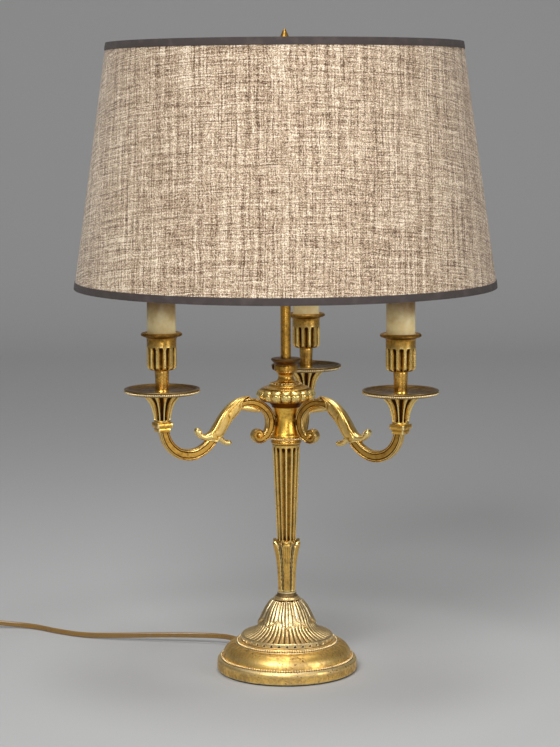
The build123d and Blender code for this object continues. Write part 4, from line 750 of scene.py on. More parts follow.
def buildFoot(s):
    shown = [(63.5, 1.5), (66.6, 1.5), (67.4, 2.2, 0.5), (67.5, 9.8), (67.2, 11.2, 0.8), (66.2, 12.6, 1.0),
             (65.0, 13.4, 0.6), (64.5, 12.9, 0.2), (62.5, 12.9, 0.3), (62.1, 14.8, 0.3), (61.9, 16.2, 0.8),
             (60.9, 19.4, 2.0), (58.6, 22.8, 2.4), (55.2, 25.6, 2.4), (52.2, 26.9, 1.2), (50.4, 27.0, 0.4),
             (49.3, 27.9, 0.3), (48.4, 27.6, 0.2), (47.2, 27.6, 0.2), (46.8, 29.6, 0.2), (46.4, 30.0), (44.6, 30.0)]
    hidden = [(5.1, 30.0), (5.1, 27.0), (44.2, 27.0), (50.4, 22.9), (58.9, 13.5), (62.2, 10.9), (63.5, 9.8)]
    piece = turnedPiece("castFoot", "base_foot", shown, hidden, footBrass, s["segments"], 0.8, (14, 0.35))
    # painted highlight on the rounded rims, and painted shade under the two bead rows
    tintBands(piece, [(64.6, 66.9, 11.4, 14.0, 0.8), (62.2, 64.5, 12.4, 13.3, -1.0),
                      (47.0, 49.2, 27.2, 28.0, -1.0), (49.2, 50.2, 27.0, 28.2, 0.7)])
    beadPiece("footBeadsLow", s["lowBeads"])
    beadPiece("footBeadsHigh", s["highBeads"])


bellSettings = {
    "ribs": 48,
    "teeth": 36,
    "grooveDepth": 1.5,
    "flareTop": 50.0,
    "flareRadius": 43.3,
    "toothDepth": 1.4,
    "toothLow": 31.3,
    "toothHigh": 33.4,
    "leaf": {"count": 8, "turn": 0.0, "lobes": 3, "notch": 0.0, "lean": 0.0, "veinLean": 0.0, "veinDepth": 0.0,
             "rays": 2.5, "rayTurn": 0.6, "rayDepth": 0.45, "thick": 1.9, "rib": 0.0, "furrow": 0.0, "bury": 0.8,
             "relief": (8, 0.32)},
    "leafWidths": [(0, 5.2), (0.2, 6.6), (0.42, 8.1), (0.56, 8.9), (0.66, 9.0), (0.72, 8.1), (0.755, 7.0),
                   (0.76, 5.4), (0.8, 5.7), (0.85, 4.9), (0.89, 3.6), (0.893, 2.6), (0.93, 2.4), (0.97, 1.3),
                   (1, 0.2)],
}


def buildBell(s):
    def relief(angle, radius, level):
        # rounded ribs with narrow grooves between them, out to a rim whose side is cut with small teeth
        groove = 1 - np.abs(np.cos(angle * s["ribs"] / 2)) ** 0.32
        flare = np.clip((s["flareTop"] - level) / 5.0, 0, 1) * np.clip((s["flareRadius"] - radius) / 0.5, 0, 1)
        across = np.abs(((angle * s["teeth"] / tau + 0.5) % 1) - 0.5) * 2
        low = np.clip((level - s["toothLow"]) / 2.1, 0, 1)
        tooth = (level > s["toothLow"]) & (level < s["toothHigh"]) & (across < 0.46 * (1 - low)) & (radius > 42)
        return -groove * s["grooveDepth"] * flare - tooth * s["toothDepth"]

    shown = [(43.6, 30.0), (44.2, 30.3, 0.2), (44.2, 34.6, 0.3), (43.3, 35.3, 0.4), (40.6, 36.2, 1.5),
             (36.0, 37.9, 2.0), (31.0, 40.6, 2.5), (27.2, 44.4, 2.5), (24.6, 49.2, 2.5), (22.2, 55.0, 3.0),
             (19.2, 60.8, 3.0), (16.2, 65.0, 2.0), (13.4, 68.0)]
    hidden = [(5.1, 68.0), (5.1, 64.0), (11.0, 64.0), (17.2, 57.6), (21.2, 46.1), (28.2, 36.0), (41.3, 33.0),
              (41.3, 30.0)]
    turnedPiece("ribbedBell", "base_bell", shown, hidden, leafBrass, s["ribs"] * 15, 0.6, (9, 0.22), relief)
    midline = [(13.6, 68.0), (16.4, 65.0), (19.4, 60.8), (22.4, 55.0), (24.8, 49.6), (26.6, 46.6), (28.2, 45.4)]
    dress(leafRing("bellLeaves", midline, s["leafWidths"], s["leaf"], leafBrass, rows=90, columns=34), "stand")


calyxSettings = {
    "mainLeaf": {"count": 6, "turn": 0.0, "lobes": 11, "notch": 0.16, "lean": 0.05, "veinLean": 0.0,
                 "veinDepth": 0.02, "rays": 2.5, "rayTurn": 1.1, "rayDepth": 0.2, "thick": 1.8, "rib": 0.2,
                 "furrow": 0.0, "bury": 0.8, "relief": (10, 0.4)},
    "sideLeaf": {"count": 6, "turn": 30.0, "lobes": 7, "notch": 0.06, "lean": 0.03, "veinLean": 0.1,
                 "veinDepth": 0.1, "thick": 0.7, "rib": 0.4, "furrow": 0.3, "bury": 0.8},
}


def buildCalyx(s):
    collar = [(11.4, 68.0), (11.5, 68.9, 0.2), (12.1, 69.4, 0.3), (12.3, 70.6, 0.5), (11.9, 71.9, 0.4),
              (11.2, 72.4, 0.3), (10.0, 72.8, 0.5), (9.3, 73.8, 0.6), (9.0, 75.4, 0.4), (8.9, 77.0)]

    def milled(angle, radius, level):
        return -0.4 * (np.abs(level - 68.9) < 0.7) * (np.sin(angle * 60) > 0)

    collar = turnedPiece("bellCollar", "bell_collar", collar, [(5.1, 77.0), (5.1, 68.0)], leafBrass, 240, 0.4,
                         (6, 0.18), milled)
    # painted shade under the collar's ring and in the hollow above it
    tintBands(collar, [(10.8, 12.0, 67.8, 69.0, -1.0), (8.6, 10.6, 72.6, 76.0, -0.4)])
    core = [(6.2, 77.0), (6.4, 83.0), (6.9, 95.0), (7.8, 107.0), (9.7, 118.0), (10.7, 121.6), (10.5, 123.2),
            (9.0, 123.6)]
    core = turnedPiece("calyxCore", "leaf_calyx", core, [(5.1, 123.6), (5.1, 77.0)], giltBrass, 96, 1.5)
    # painted shade over the whole core, between the leaves
    tintBands(core, [(6.0, 20.0, 76.0, 130.0, -0.7)])
    midline = [(7.0, 77.6), (7.2, 84.0), (7.7, 95.0), (8.6, 106.0), (10.3, 116.0), (11.8, 121.6), (13.2, 125.4),
               (14.2, 126.8)]
    widths = [(0, 2.7), (0.2, 2.8), (0.45, 3.3), (0.72, 4.3), (0.86, 4.5), (0.94, 3.6), (0.98, 2.2), (1, 1.0)]
    dress(leafRing("calyxLeaves", midline, widths, s["mainLeaf"], armBrass, side=-1, rows=80, columns=24), "stand")
    sideLine = [(6.6, 77.6), (7.0, 88.0), (7.9, 100.0), (9.6, 112.0), (11.6, 121.0), (12.9, 126.0)]
    sideWidths = [(0, 1.6), (0.3, 2.4), (0.6, 3.4), (0.85, 3.0), (1, 0.8)]
    dress(leafRing("calyxSideLeaves", sideLine, sideWidths, s["sideLeaf"], dishBrass, side=-1), "stand")


columnSettings = {
    "flutes": {"count": 14, "depth": 1.35, "share": 0.72, "low": 127.5, "high": 218.4, "lip": 0.0, "inside": 7.4,
               "wearAndHighlight": (36, 0.5)},
    "beads": {"count": 50, "ringRadius": 15.15, "level": 226.7, "beadRadius": 0.98},
}


def buildColumn(s):
    shaft = [(8.8, 123.6), (9.2, 130.0), (13.1, 214.0), (13.2, 220.4, 0.3), (13.4, 221.0)]
    column = turnedPiece("flutedColumn", "fluted_column", shaft, [(5.1, 221.0), (5.1, 123.6)], giltBrass,
                         s["flutes"]["count"] * 16, 0.9)
    cutFlutes(column, s["flutes"])
    ring = [(13.4, 221.0), (14.2, 221.4, 0.2), (14.8, 222.4, 0.4), (14.7, 223.6, 0.4), (14.1, 224.3, 0.3),
            (13.9, 225.2, 0.3), (14.0, 226.6), (13.9, 227.8, 0.2), (13.4, 228.0)]
    turnedPiece("beadedRing", "bead_collar", ring, [(5.1, 228.0), (5.1, 221.0)], giltBrass, 160, 0.4, (8, 0.25))
    beadPiece("columnBeads", s["beads"])


hubSettings = {"lobes": 16, "grooveDepth": 2.4,
               "beads": {"count": 24, "ringRadius": 14.4, "level": 279.3, "beadRadius": 0.7}}


def buildHub(s):
    waist = [(13.4, 228.0), (13.9, 228.6, 0.3), (13.7, 230.0, 0.5), (12.8, 231.6, 0.8), (11.8, 236.0, 2.0),
             (10.9, 241.0, 2.5), (10.8, 246.0, 2.5), (11.6, 251.0, 2.5), (12.9, 255.4, 2.0), (14.2, 258.6, 1.0),
             (15.2, 259.6, 0.4), (15.4, 261.6)]
    body = turnedPiece("hubBody", "hub_body", waist, [(8.9, 261.6), (8.9, 228.0)], warmBrass, 128, 0.6, (12, 0.4))
    # painted shadow on the hub's top under the gadroon cap
    tintBands(body, [(13.2, 16.0, 256.4, 262.0, -0.6)])

    def gadroons(angle, radius, level):
        groove = 1 - np.abs(np.cos(angle * s["lobes"] / 2)) ** 0.45
        fade = np.clip((radius - 16.0) / 2.0, 0, 1) * np.clip(274.0 - level, 0, 1)
        return -groove * s["grooveDepth"] * fade

    cap = [(15.3, 261.4), (17.0, 261.3, 0.5), (21.6, 262.0, 1.5), (25.8, 264.0, 1.5), (28.2, 267.2, 1.5),
           (28.5, 269.6, 1.2), (26.9, 272.4, 1.2), (23.8, 274.2, 0.6), (22.4, 274.2, 0.3), (22.3, 275.4, 0.4),
           (19.6, 276.3, 0.6), (16.6, 276.9, 0.4), (16.0, 277.6, 0.3), (15.9, 278.8, 0.3), (15.2, 279.0)]
    cap = turnedPiece("gadroonCap", "gadroon_cap", cap, [(8.1, 279.0), (8.1, 261.4)], giltBrass, s["lobes"] * 20,
                      0.45, (12, 0.3), gadroons)
    # painted highlight on the lobes and the top step, and a line of painted shade in the corner above the lobes
    tintBands(cap, [(24.6, 29.5, 262.5, 273.4, 1.1), (16.4, 22.4, 275.0, 277.4, 0.3),
                    (21.8, 24.2, 273.6, 274.6, -0.3)])
    beadPiece("capBeads", s["beads"])
    neck = [(12.0, 279.0), (12.6, 279.3, 0.2), (12.5, 280.4, 0.3), (9.6, 281.2, 0.8), (7.8, 283.0, 1.0),
            (7.2, 285.6, 1.0), (7.7, 288.0, 1.0), (9.2, 289.8, 0.6), (9.7, 290.4, 0.2), (9.6, 291.0), (6.8, 291.0),
            (6.8, 297.0)]
    turnedPiece("neckSpool", "neck_spool", neck, [(4.95, 297.0), (4.95, 274.2), (7.95, 274.2), (7.95, 279.0)],
                giltBrass, 96, 0.5, (8, 0.3))
    disc = [(10.2, 297.0), (10.8, 298.2, 0.3), (12.2, 299.5, 0.6), (13.7, 301.0, 0.5), (14.1, 302.1, 0.3),
            (13.8, 303.1, 0.3), (12.6, 303.4, 0.3), (8.0, 303.1), (7.0, 303.4, 0.2), (5.3, 303.4)]
    turnedPiece("coverDisc", "cover_disc", disc, [(5.15, 297.0)], darkBronze, 96, 0.4, (8, 0.3))


# rod, finial
def buildRod():
    def thread(angle, radius, level):
        ridge = np.abs(((level - 586.1 - angle / tau) % 1) - 0.5) * 2
        return -0.3 * ridge * (level > 587.0) * (level < 601.4)

    rod = [(0.02, 250.0), (4.1, 250.0), (4.9, 250.8, 0.2), (4.9, 585.8), (4.6, 586.1, 0.1), (3.0, 586.1),
           (3.0, 601.6), (2.4, 602.2), (0.02, 602.2)]
    turnedPiece("shadeRod", "shade_rod", rod, [], giltBrass, 72, 0.5, relief=thread, body="rod")
    finial = [(3.05, 590.3), (7.4, 590.3), (8.0, 591.0, 0.4), (8.0, 592.6, 0.5), (7.2, 593.8, 0.4), (6.0, 594.8, 0.6),
              (5.8, 596.2, 0.8), (6.6, 597.8, 0.6), (6.9, 598.8, 0.5), (6.3, 600.4, 0.8), (4.6, 604.4, 1.5),
              (2.9, 608.4, 1.5), (1.5, 611.6, 0.8), (0.9, 612.8, 0.4), (0.02, 613.0)]
    turnedPiece("pointedFinial", "finial", finial, [(0.02, 602.9), (3.05, 602.9)], giltBrass, 96, 0.4, (8, 0.3),
                body="finial")


# arms: one swept S with channelled sides, a wrapped leaf with two curled tips, a volute, and the square block
armSettings = {
    "azimuths": {"left": 205.0, "right": -34.0, "back": 80.5},
    "line": [(126.2, 242.5, 9.0), (125.4, 239.0, 9.4), (123.5, 233.0, 9.6), (119.4, 226.4, 9.8), (112.6, 220.6, 10.2),
             (104.8, 217.8, 10.6), (97.0, 217.4, 10.6), (89.2, 219.8, 10.2), (82.0, 224.6, 9.8), (76.2, 231.0, 9.8),
             (70.6, 239.0, 10.0), (65.0, 247.2, 10.0), (58.6, 254.8, 9.8), (51.0, 260.4, 9.2), (42.6, 263.0, 8.6),
             (34.6, 262.8, 8.2), (27.4, 259.8, 8.4), (21.4, 254.8, 9.0), (17.6, 248.8, 9.4), (16.6, 242.4, 9.4),
             (17.6, 236.2, 9.0), (20.8, 230.6, 8.4)],
    "width": 7.6,
    "volute": {"centre": (29.6, 231.6), "start": 236.0, "turn": 390.0, "radii": (5.4, 1.8), "thick": (7.8, 3.6),
               "width": (7.8, 10.4)},
    "leaf": {"folds": 1.9, "slant": 1.7, "lobes": 2.3, "notch": 0.2, "thick": 1.6, "depth": 0.24,
             "cover": [(0, 0.15), (0.1, 0.5), (0.25, 0.84), (0.5, 0.94), (0.8, 0.9), (0.92, 0.68), (1, 0.34)]},
    "sideHollow": 0.75,
    "sideGroove": 0.7,
    "upTip": [(72.0, 240.0, 8.0, 9.0), (76.5, 235.4, 8.4, 9.6), (81.0, 233.2, 7.2, 9.8), (85.4, 233.0, 5.6, 9.4),
              (89.2, 234.8, 5.2, 8.8), (91.2, 237.8, 6.2, 8.6), (91.4, 240.4, 7.6, 8.4), (90.8, 242.0, 7.2, 8.0)],
    "downTip": [(71.4, 237.4, 7.2, 8.6), (69.8, 232.4, 6.0, 8.4), (66.8, 228.4, 5.0, 8.0), (62.8, 226.2, 4.6, 7.6),
                (59.6, 226.4, 5.4, 7.2), (58.2, 227.8, 5.6, 6.8)],
    "tendril": [(53.0, 258.6, 2.8, 4.6), (46.0, 258.6, 5.6, 6.6), (39.6, 257.9, 6.6, 7.0), (33.4, 256.2, 5.6, 6.2),
                (29.2, 254.6, 4.0, 5.0)],
    "leafFrom": 38, "leafTo": 77,
    "tendrilBall": 2.1,
    "voluteBall": (2.0, 2.6),
    "blocks": [((240.8, 245.4), 6.2), ((245.2, 250.0), 7.9)],
    "blockReach": 127.0, "blockEase": 0.5,
    "pin": [(8.0, 245.0, 6.0, 6.0), (13.0, 245.0, 6.0, 6.0), (14.4, 245.0, 6.0, 5.0), (16.6, 245.0, 6.0, 5.0)],
}


def smoothRows(rows, step):
    # a line through the given rows; every column is carried along with it
    rows = np.array(rows, float)
    padded = np.vstack([2 * rows[0] - rows[1], rows, 2 * rows[-1] - rows[-2]])
    out = []
    for i in range(1, len(padded) - 2):
        a, b, c, d = padded[i - 1:i + 3]
        count = max(2, ceil(np.linalg.norm((c - b)[:2]) / step))
        for t in np.arange(count) / count:
            out.append(0.5 * (2 * b + (c - a) * t + (2 * a - 5 * b + 4 * c - d) * t * t
                              + (3 * b - a - 3 * c + d) * t ** 3))
    out.append(rows[-1])
    return np.array(out)


def sweptForm(rows, sectionPoints, sideShape=None, roundEnd=True, roundStart=False, power=0.5):
    # rows of (r, z, thickness, width) in the arm's plane, with width across that plane
    place, thick, wide = rows[:, :2], rows[:, 2], rows[:, 3]
    normal = -leftNormals(place)
    angle = (np.arange(sectionPoints) + 0.5) * tau / sectionPoints
    c, s = np.cos(angle), np.sin(angle)
    across = np.sign(c) * np.abs(c) ** power
    up = np.sign(s) * np.abs(s) ** power
    run = np.concatenate([[0], np.cumsum(np.linalg.norm(np.diff(place, axis=0), axis=1))])
    scale = np.ones(len(rows))
    if roundEnd:
        scale *= np.sqrt(np.clip(1 - np.clip(1 - (run[-1] - run) / (thick[-1] * 0.5), 0, 1) ** 2, 0.02, 1))
    if roundStart:
        scale *= np.sqrt(np.clip(1 - np.clip(1 - run / (thick[0] * 0.5), 0, 1) ** 2, 0.02, 1))
    lateral = across[None, :] * (wide * scale / 2)[:, None]
    if sideShape is not None:
        lateral = lateral - np.sign(c)[None, :] * sideShape(up)[None, :] * scale[:, None]
    offset = up[None, :] * (thick * scale / 2)[:, None]
    points = np.stack([place[:, None, 0] + offset * normal[:, None, 0], lateral,
                       place[:, None, 1] + offset * normal[:, None, 1]], -1)
    return points.reshape(-1, 3), tubeFaces(len(rows), sectionPoints)


def channelled(s):
    # a flat-bottomed channel along each side, with a fine groove inside each edge
    def shape(up):
        q = np.abs(up)
        hollow = s["sideHollow"] * np.clip((0.62 - q) / 0.08, 0, 1)
        groove = s["sideGroove"] * np.exp(-((q - 0.78) / 0.06) ** 2)
        return hollow + groove
    return shape


def wrappedLeaf(rows, s, start, end):
    # a leaf clasped over the arm, from its stem on the crest to two serrated lobes, with long slanting folds
    count, columns = 96, 44
    index = np.linspace(start, end, count + 1)
    along = np.arange(len(rows))
    v = np.linspace(0, 1, count + 1)[:, None]
    u = np.linspace(-1, 1, columns + 1)[None, :]
    fold = s["folds"] * (v - s["slant"] * np.abs(u))
    edgeFold = s["lobes"] * v
    cover = np.interp(v[:, 0], [p[0] for p in s["cover"]], [p[1] for p in s["cover"]])[:, None]
    edge = cover * (1 - s["notch"] * (1 - np.abs(np.sin(pi * edgeFold)) ** 0.5))
    index = index[:, None] + (end - start) * 0.07 * np.abs(u) ** 1.5
    ridge = np.abs(np.sin(pi * fold)) ** 0.7
    height = s["thick"] * (1 - s["depth"] * (1 - ridge)) + 0.5 * np.exp(-(u / 0.07) ** 2)
    height = height * np.clip((1 - v) / 0.06, 0.3, 1)
    normalRows = -leftNormals(rows[:, :2])

    def read(values):
        return np.interp(index, along, values)

    shells = []
    for lift in (height, np.full_like(height, -0.5)):
        angle = pi / 2 + u * edge * pi
        c, si = np.cos(angle), np.sin(angle)
        wide = read(rows[:, 3]) / 2 + lift
        deep = read(rows[:, 2]) / 2 + lift
        across = np.sign(c) * np.abs(c) ** 0.5 * wide
        up = np.sign(si) * np.abs(si) ** 0.6 * deep
        shells.append(np.stack([read(rows[:, 0]) + up * read(normalRows[:, 0]), across,
                                read(rows[:, 1]) + up * read(normalRows[:, 1])], -1).reshape(-1, 3))
    return shellForm(shells[0], shells[1], count + 1, columns + 1)


def blockForm(centre, levels, half, ease):
    # a square block on the arm's end: rings of a rounded square from bottom to top
    rings = [(half - ease, levels[0]), (half, levels[0] + ease), (half, levels[1] - ease), (half - ease, levels[1])]
    count = 48
    angle = (np.arange(count) + 0.5) * tau / count
    c, s = np.cos(angle), np.sin(angle)
    shape = np.stack([np.sign(c) * np.abs(c) ** 0.13, np.sign(s) * np.abs(s) ** 0.13], 1)
    points = [np.column_stack([centre + shape[:, 0] * size, shape[:, 1] * size, np.full(count, level)])
              for size, level in rings]
    return np.vstack(points), tubeFaces(len(rings), count, False)


def ballForm(centre, radius, squash=1.0):
    rings, segments = 12, 20
    points = []
    for i in range(rings):
        tilt = pi * (i + 0.5) / rings
        for k in range(segments):
            a = tau * k / segments
            points.append((centre[0] + radius * sin(tilt) * cos(a), squash * radius * cos(tilt),
                           centre[1] + radius * sin(tilt) * sin(a)))
    faces = gridFaces(rings, segments, False, True)
    faces.append(list(range(segments)))
    faces.append([(rings - 1) * segments + k for k in range(segments)])
    return np.array(points), faces


def buildArms(s):
    v = s["volute"]
    rows = smoothRows([(r, z, t, s["width"]) for r, z, t in s["line"]], 0.9)
    turns = 60
    spiral = []
    for k in range(turns + 1):
        share = k / turns
        a = radians(v["start"] + v["turn"] * share)
        radius = v["radii"][0] + (v["radii"][1] - v["radii"][0]) * share ** 0.8
        spiral.append((v["centre"][0] + radius * cos(a), v["centre"][1] + radius * sin(a),
                       v["thick"][0] + (v["thick"][1] - v["thick"][0]) * share ** 0.55,
                       v["width"][0] + (v["width"][1] - v["width"][0]) * share))
    whole = np.vstack([rows, smoothRows([rows[-1].tolist()] + spiral[:1], 0.9)[1:-1], np.array(spiral)])
    forms = [sweptForm(whole, 44, channelled(s), power=0.42)]
    reach = whole[:, 0]
    crest = int(np.argmax(whole[:, 1]))
    pastCrest = 12
    start = int(np.argmin(np.abs(reach[:crest + pastCrest] - s["leafFrom"])))
    end = int(np.argmin(np.abs(reach[:crest] - s["leafTo"])))
    forms.append(wrappedLeaf(whole, s["leaf"], start, end))
    for key, power in (("upTip", 0.75), ("downTip", 0.75), ("tendril", 0.9)):
        forms.append(sweptForm(smoothRows(s[key], 0.7), 28, roundStart=True, power=power))
    forms.append(ballForm(s["tendril"][-1][:2], s["tendrilBall"]))
    forms.append(ballForm(v["centre"], *s["voluteBall"]))
    for levels, half in s["blocks"]:
        forms.append(blockForm(s["blockReach"], levels, half, s["blockEase"]))
    forms.append(sweptForm(np.array(s["pin"]), 24, roundEnd=False, power=0.9))
    points, faces = joinForms(forms)
    for name, azimuth in s["azimuths"].items():
        c, si = cos(radians(azimuth)), sin(radians(azimuth))
        turned = np.column_stack([points[:, 0] * c - points[:, 1] * si, points[:, 0] * si + points[:, 1] * c,
                                  points[:, 2]])
        piece = makePiece(f"scrollArm.{name}", [(turned, faces)], armBrass, smooth=50, relief=(7, 0.25))
        # painted shade where the arm's pin goes into the hub
        tintBands(piece, [(7.0, 14.2, 238.0, 250.0, -0.45)])
        dress(piece, "stand", f"arm_{name}")


candleSettings = {
    "reach": 127.0,
    "flutes": {
        "trumpet": {"count": 12, "depth": 2.6, "share": 0.7, "low": 252.2, "high": 279.0, "lip": 0.15, "inside": 6.0,
                    "wearAndHighlight": (40, 0.5)},
        "candleCup": {"count": 12, "depth": 1.9, "share": 0.64, "low": 299.8, "high": 321.0, "lip": 0.1,
                      "inside": 12.3, "wearAndHighlight": (40, 0.7)},
    },
    "capPitch": 2.8,
    "capThread": 0.9,
    "panBeads": {"count": 112, "ringRadius": 34.5, "level": 279.3, "beadRadius": 1.0},
}


def buildCandles(s):
    def handMade(angle, radius, level):
        return 0.05 * np.sin(angle * 3 + level * 0.05) + 0.04 * np.sin(level * 0.21 + angle)

    def thread(angle, radius, level):
        wave = 0.5 + 0.5 * np.sin((level / s["capPitch"]) * tau - angle)
        return -s["capThread"] * (1 - wave) * (level > 377.5) * (level < 391.5)

    # what is turned round each candle's axis: name, node, body, outside, inside, material, segments, step, wear and
    # highlight marks, and relief
    turned = [
        ("trumpet", "trumpet", "stand",
         [(7.0, 250.0), (7.8, 250.4, 0.3), (7.8, 251.4, 0.3), (7.5, 251.9, 0.2), (7.8, 254.0), (8.9, 260.0, 2.0),
          (10.4, 265.0, 2.0), (12.9, 269.8, 2.0), (16.4, 273.6, 1.4), (18.0, 274.9, 0.3), (18.2, 275.5)],
         [(4.05, 275.5), (4.05, 250.0)], giltBrass, 160, 0.6, None, None),
        ("drippan", "drip_pan", "stand",
         [(18.2, 275.5), (21.0, 275.7), (30.0, 276.8, 2.0), (33.2, 277.6, 0.6), (33.6, 278.4, 0.3),
          (33.6, 280.4, 0.2), (34.6, 280.6, 0.2), (35.3, 281.0, 0.3), (35.3, 281.6, 0.3), (34.5, 282.0, 0.3),
          (33.2, 281.7, 0.4), (31.0, 280.2, 1.2), (26.6, 278.9, 1.5), (20.0, 278.5, 1.5), (6.8, 278.5)],
         [(4.05, 278.5), (4.05, 275.5)], dishBrass, 160, 0.9, (8, 0.35), None),
        ("candleStem", "candle_stem", "stand",
         [(6.5, 278.5), (6.8, 278.9, 0.2), (6.6, 279.6, 0.3), (6.3, 280.4, 0.4), (6.4, 290.0), (6.7, 297.2),
          (6.6, 298.2, 0.2), (6.3, 299.0)],
         [(4.05, 299.0), (4.05, 278.5)], giltBrass, 72, 0.6, (6, 0.3), None),
        ("candleCup", "candle_cup", "stand",
         [(6.5, 299.0), (9.6, 299.1), (11.6, 299.7, 0.6), (13.2, 301.0, 0.8), (13.8, 303.0, 0.8), (13.75, 327.6),
          (14.1, 329.0, 0.6), (15.2, 330.0, 0.5), (18.0, 330.7, 0.5), (19.1, 331.5, 0.4), (19.2, 332.6, 0.5),
          (18.2, 333.8, 0.5), (16.6, 334.2, 0.4), (15.4, 333.4, 0.4), (13.7, 333.0)],
         [(13.6, 330.0), (10.5, 330.0), (10.5, 303.0), (4.05, 303.0), (4.05, 299.0)],
         giltBrass, 192, 0.6, None, None),
        ("candleSleeve", "candle_sleeve", "stand",
         [(12.5, 330.0), (13.1, 330.1, 0.2), (13.3, 330.6, 0.2), (13.3, 397.2), (13.1, 397.8, 0.3),
          (12.7, 397.9, 0.2), (12.4, 397.4, 0.2), (12.4, 396.0)],
         [(12.4, 330.0)], ivorySleeve, 96, 1.5, None, handMade),
        ("bulbCap", "bulb_cap", "bulb",
         [(0.02, 372.0), (2.0, 372.0), (2.5, 372.5, 0.3), (2.6, 373.8, 0.2), (4.8, 375.2), (6.2, 376.4, 0.5),
          (6.95, 377.6, 0.4), (6.95, 391.6), (6.9, 393.9, 0.2), (6.4, 394.0)],
         [(0.02, 394.0)], zincSteel, 72, 0.35, None, thread),
        ("bulbGlass", "bulb_glass", "bulb",
         [(5.6, 394.0), (6.3, 395.0, 0.3), (8.0, 399.5, 1.5), (12.4, 407.0, 2.5), (16.4, 414.0, 2.5),
          (17.5, 420.5, 2.5), (16.4, 428.0, 2.5), (13.2, 440.0, 4.0), (9.4, 453.0, 4.0), (5.8, 464.6, 3.0),
          (3.2, 471.6, 1.5), (1.4, 473.7, 0.6), (0.02, 474.0)],
         [(0.02, 473.0), (1.1, 472.7), (2.5, 470.9), (5.0, 464.0), (8.6, 452.8), (12.4, 439.8), (15.6, 427.8),
          (16.7, 420.4), (15.6, 414.4), (11.7, 407.6), (7.2, 399.9), (5.5, 395.4), (5.0, 394.0)],
         lampGlass, 72, 1.6, None, None),
    ]
    mount = [(0.02, 394.2), (3.4, 394.2), (3.2, 396.5), (1.6, 400.0, 0.8), (1.1, 412.0), (1.4, 415.0, 0.4),
             (0.6, 416.0), (0.02, 416.2)]
    wires = []
    for side in (-1, 1):
        path = smoothRows([(side * 0.6, 404.0, 0.5, 0.5), (side * 2.4, 412.0, 0.5, 0.5),
                           (side * 4.2, 424.0, 0.5, 0.5)], 1.5)
        wires.append(sweptForm(path, 6, roundEnd=False, power=1.0))
    coil = [(4.2 - 8.4 * t, 424.0 + 9.0 * sin(pi * t) + 0.5 * cos(60 * t * pi), 0.25, 0.25)
            for t in np.linspace(0, 1, 121)]
    wires.append(sweptForm(np.array(coil), 5, roundEnd=False, power=1.0))
    for name, azimuth in armSettings["azimuths"].items():
        centre = (s["reach"] * cos(radians(azimuth)), s["reach"] * sin(radians(azimuth)))
        for label, node, body, shown, hidden, material, segments, step, wearAndHighlight, relief in turned:
            body = body if body == "stand" else f"{body}_{name}"
            piece = turnedPiece(f"{label}.{name}", f"{node}_{name}", shown, hidden, material, segments, step, wearAndHighlight,
                                relief, centre, body)
            if label in s["flutes"]:
                cutFlutes(piece, s["flutes"][label], centre)
            if label == "candleCup":
                # painted shade of the lampshade on the cup's rim
                tintBands(piece, [(14.3, 20.0, 329.4, 335.0, -0.3)], centre)
            if label == "drippan":
                beadPiece(f"drippanBeads.{name}", s["panBeads"], centre)
        shifted = [(points + np.array([*centre, 0]), faces) for points, faces in wires]
        dress(makePiece(f"bulbMount.{name}", [turnedForm(mount, [], 24, 1.5, centre=centre)] + shifted, zincSteel),
              f"bulb_{name}")


# shade: linen laminated to its liner, with a lapped seam at the back and a ribbon round each rim
shadeSettings = {
    "bottom": (200.0, 371.7), "top": (167.2, 600.2),
    "ribbonHeight": 6.8, "ribbonThick": 0.6, "clothThick": 0.8, "seamWidth": 12.0,
    "clothSpan": (0.001, 0.999), "seamSpan": (0.002, 0.998), "seamLift": 0.35,
    "segments": 360, "ribbonTurn": 180,
}


def layUv(piece, layer, values):
    mesh = piece.data
    uv = mesh.uv_layers.new(name=layer)
    loops = np.empty(len(mesh.loops), int)
    mesh.loops.foreach_get("vertex_index", loops)
    uv.data.foreach_set("uv", np.asarray(values, np.float32)[loops].ravel())


def coneForm(s, low, high, inner, outer, start, end, segments, rows, bulge=0.0, wobble=0.0):
    # a strip of the cone between two shares of its height, as an open or a full turn, closed all round
    slope = np.array(s["top"]) - np.array(s["bottom"])
    length = np.linalg.norm(slope)
    normal = np.array([slope[1], -slope[0]]) / length
    full = abs(end - start) >= tau - 1e-6
    angle = start + (end - start) * np.arange(segments if full else segments + 1) / segments
    v = np.linspace(low, high, rows + 1)
    apex = s["bottom"][0] * length / (s["bottom"][0] - s["top"][0])
    turn = (s["bottom"][0] - s["top"][0]) / length
    points, flat = [], []
    for depth, sign in ((outer, 1), (inner, -1)):
        for a in angle:
            for share in (v if sign > 0 else v[::-1]):
                side = (share - low) / (high - low)
                lift = depth + bulge * (sin(pi * side) ** 0.6 if 0 < side < 1 else 0) * (sign > 0)
                lift += wobble * (sin(3 * a) * sin(pi * share) + 0.6 * sin(7 * a + 2 * share))
                place = np.array(s["bottom"]) + slope * share + normal * lift
                points.append((place[0] * sin(a), -place[0] * cos(a), place[1]))
                away = apex - length * share
                flat.append((away * sin(a * turn) * mm, (apex - away * cos(a * turn)) * mm))
    count = len(angle)
    ring = np.array(points).reshape(2, count, rows + 1, 3)
    ring = np.concatenate([ring[0], ring[1]], axis=1)
    flat = np.array(flat).reshape(2, count, rows + 1, 2)
    flat = np.concatenate([flat[0], flat[1]], axis=1)
    width = 2 * (rows + 1)
    faces = gridFaces(count, width, True, True) if full else tubeFaces(count, width, False)
    return ring.reshape(-1, 3), faces, flat.reshape(-1, 2)


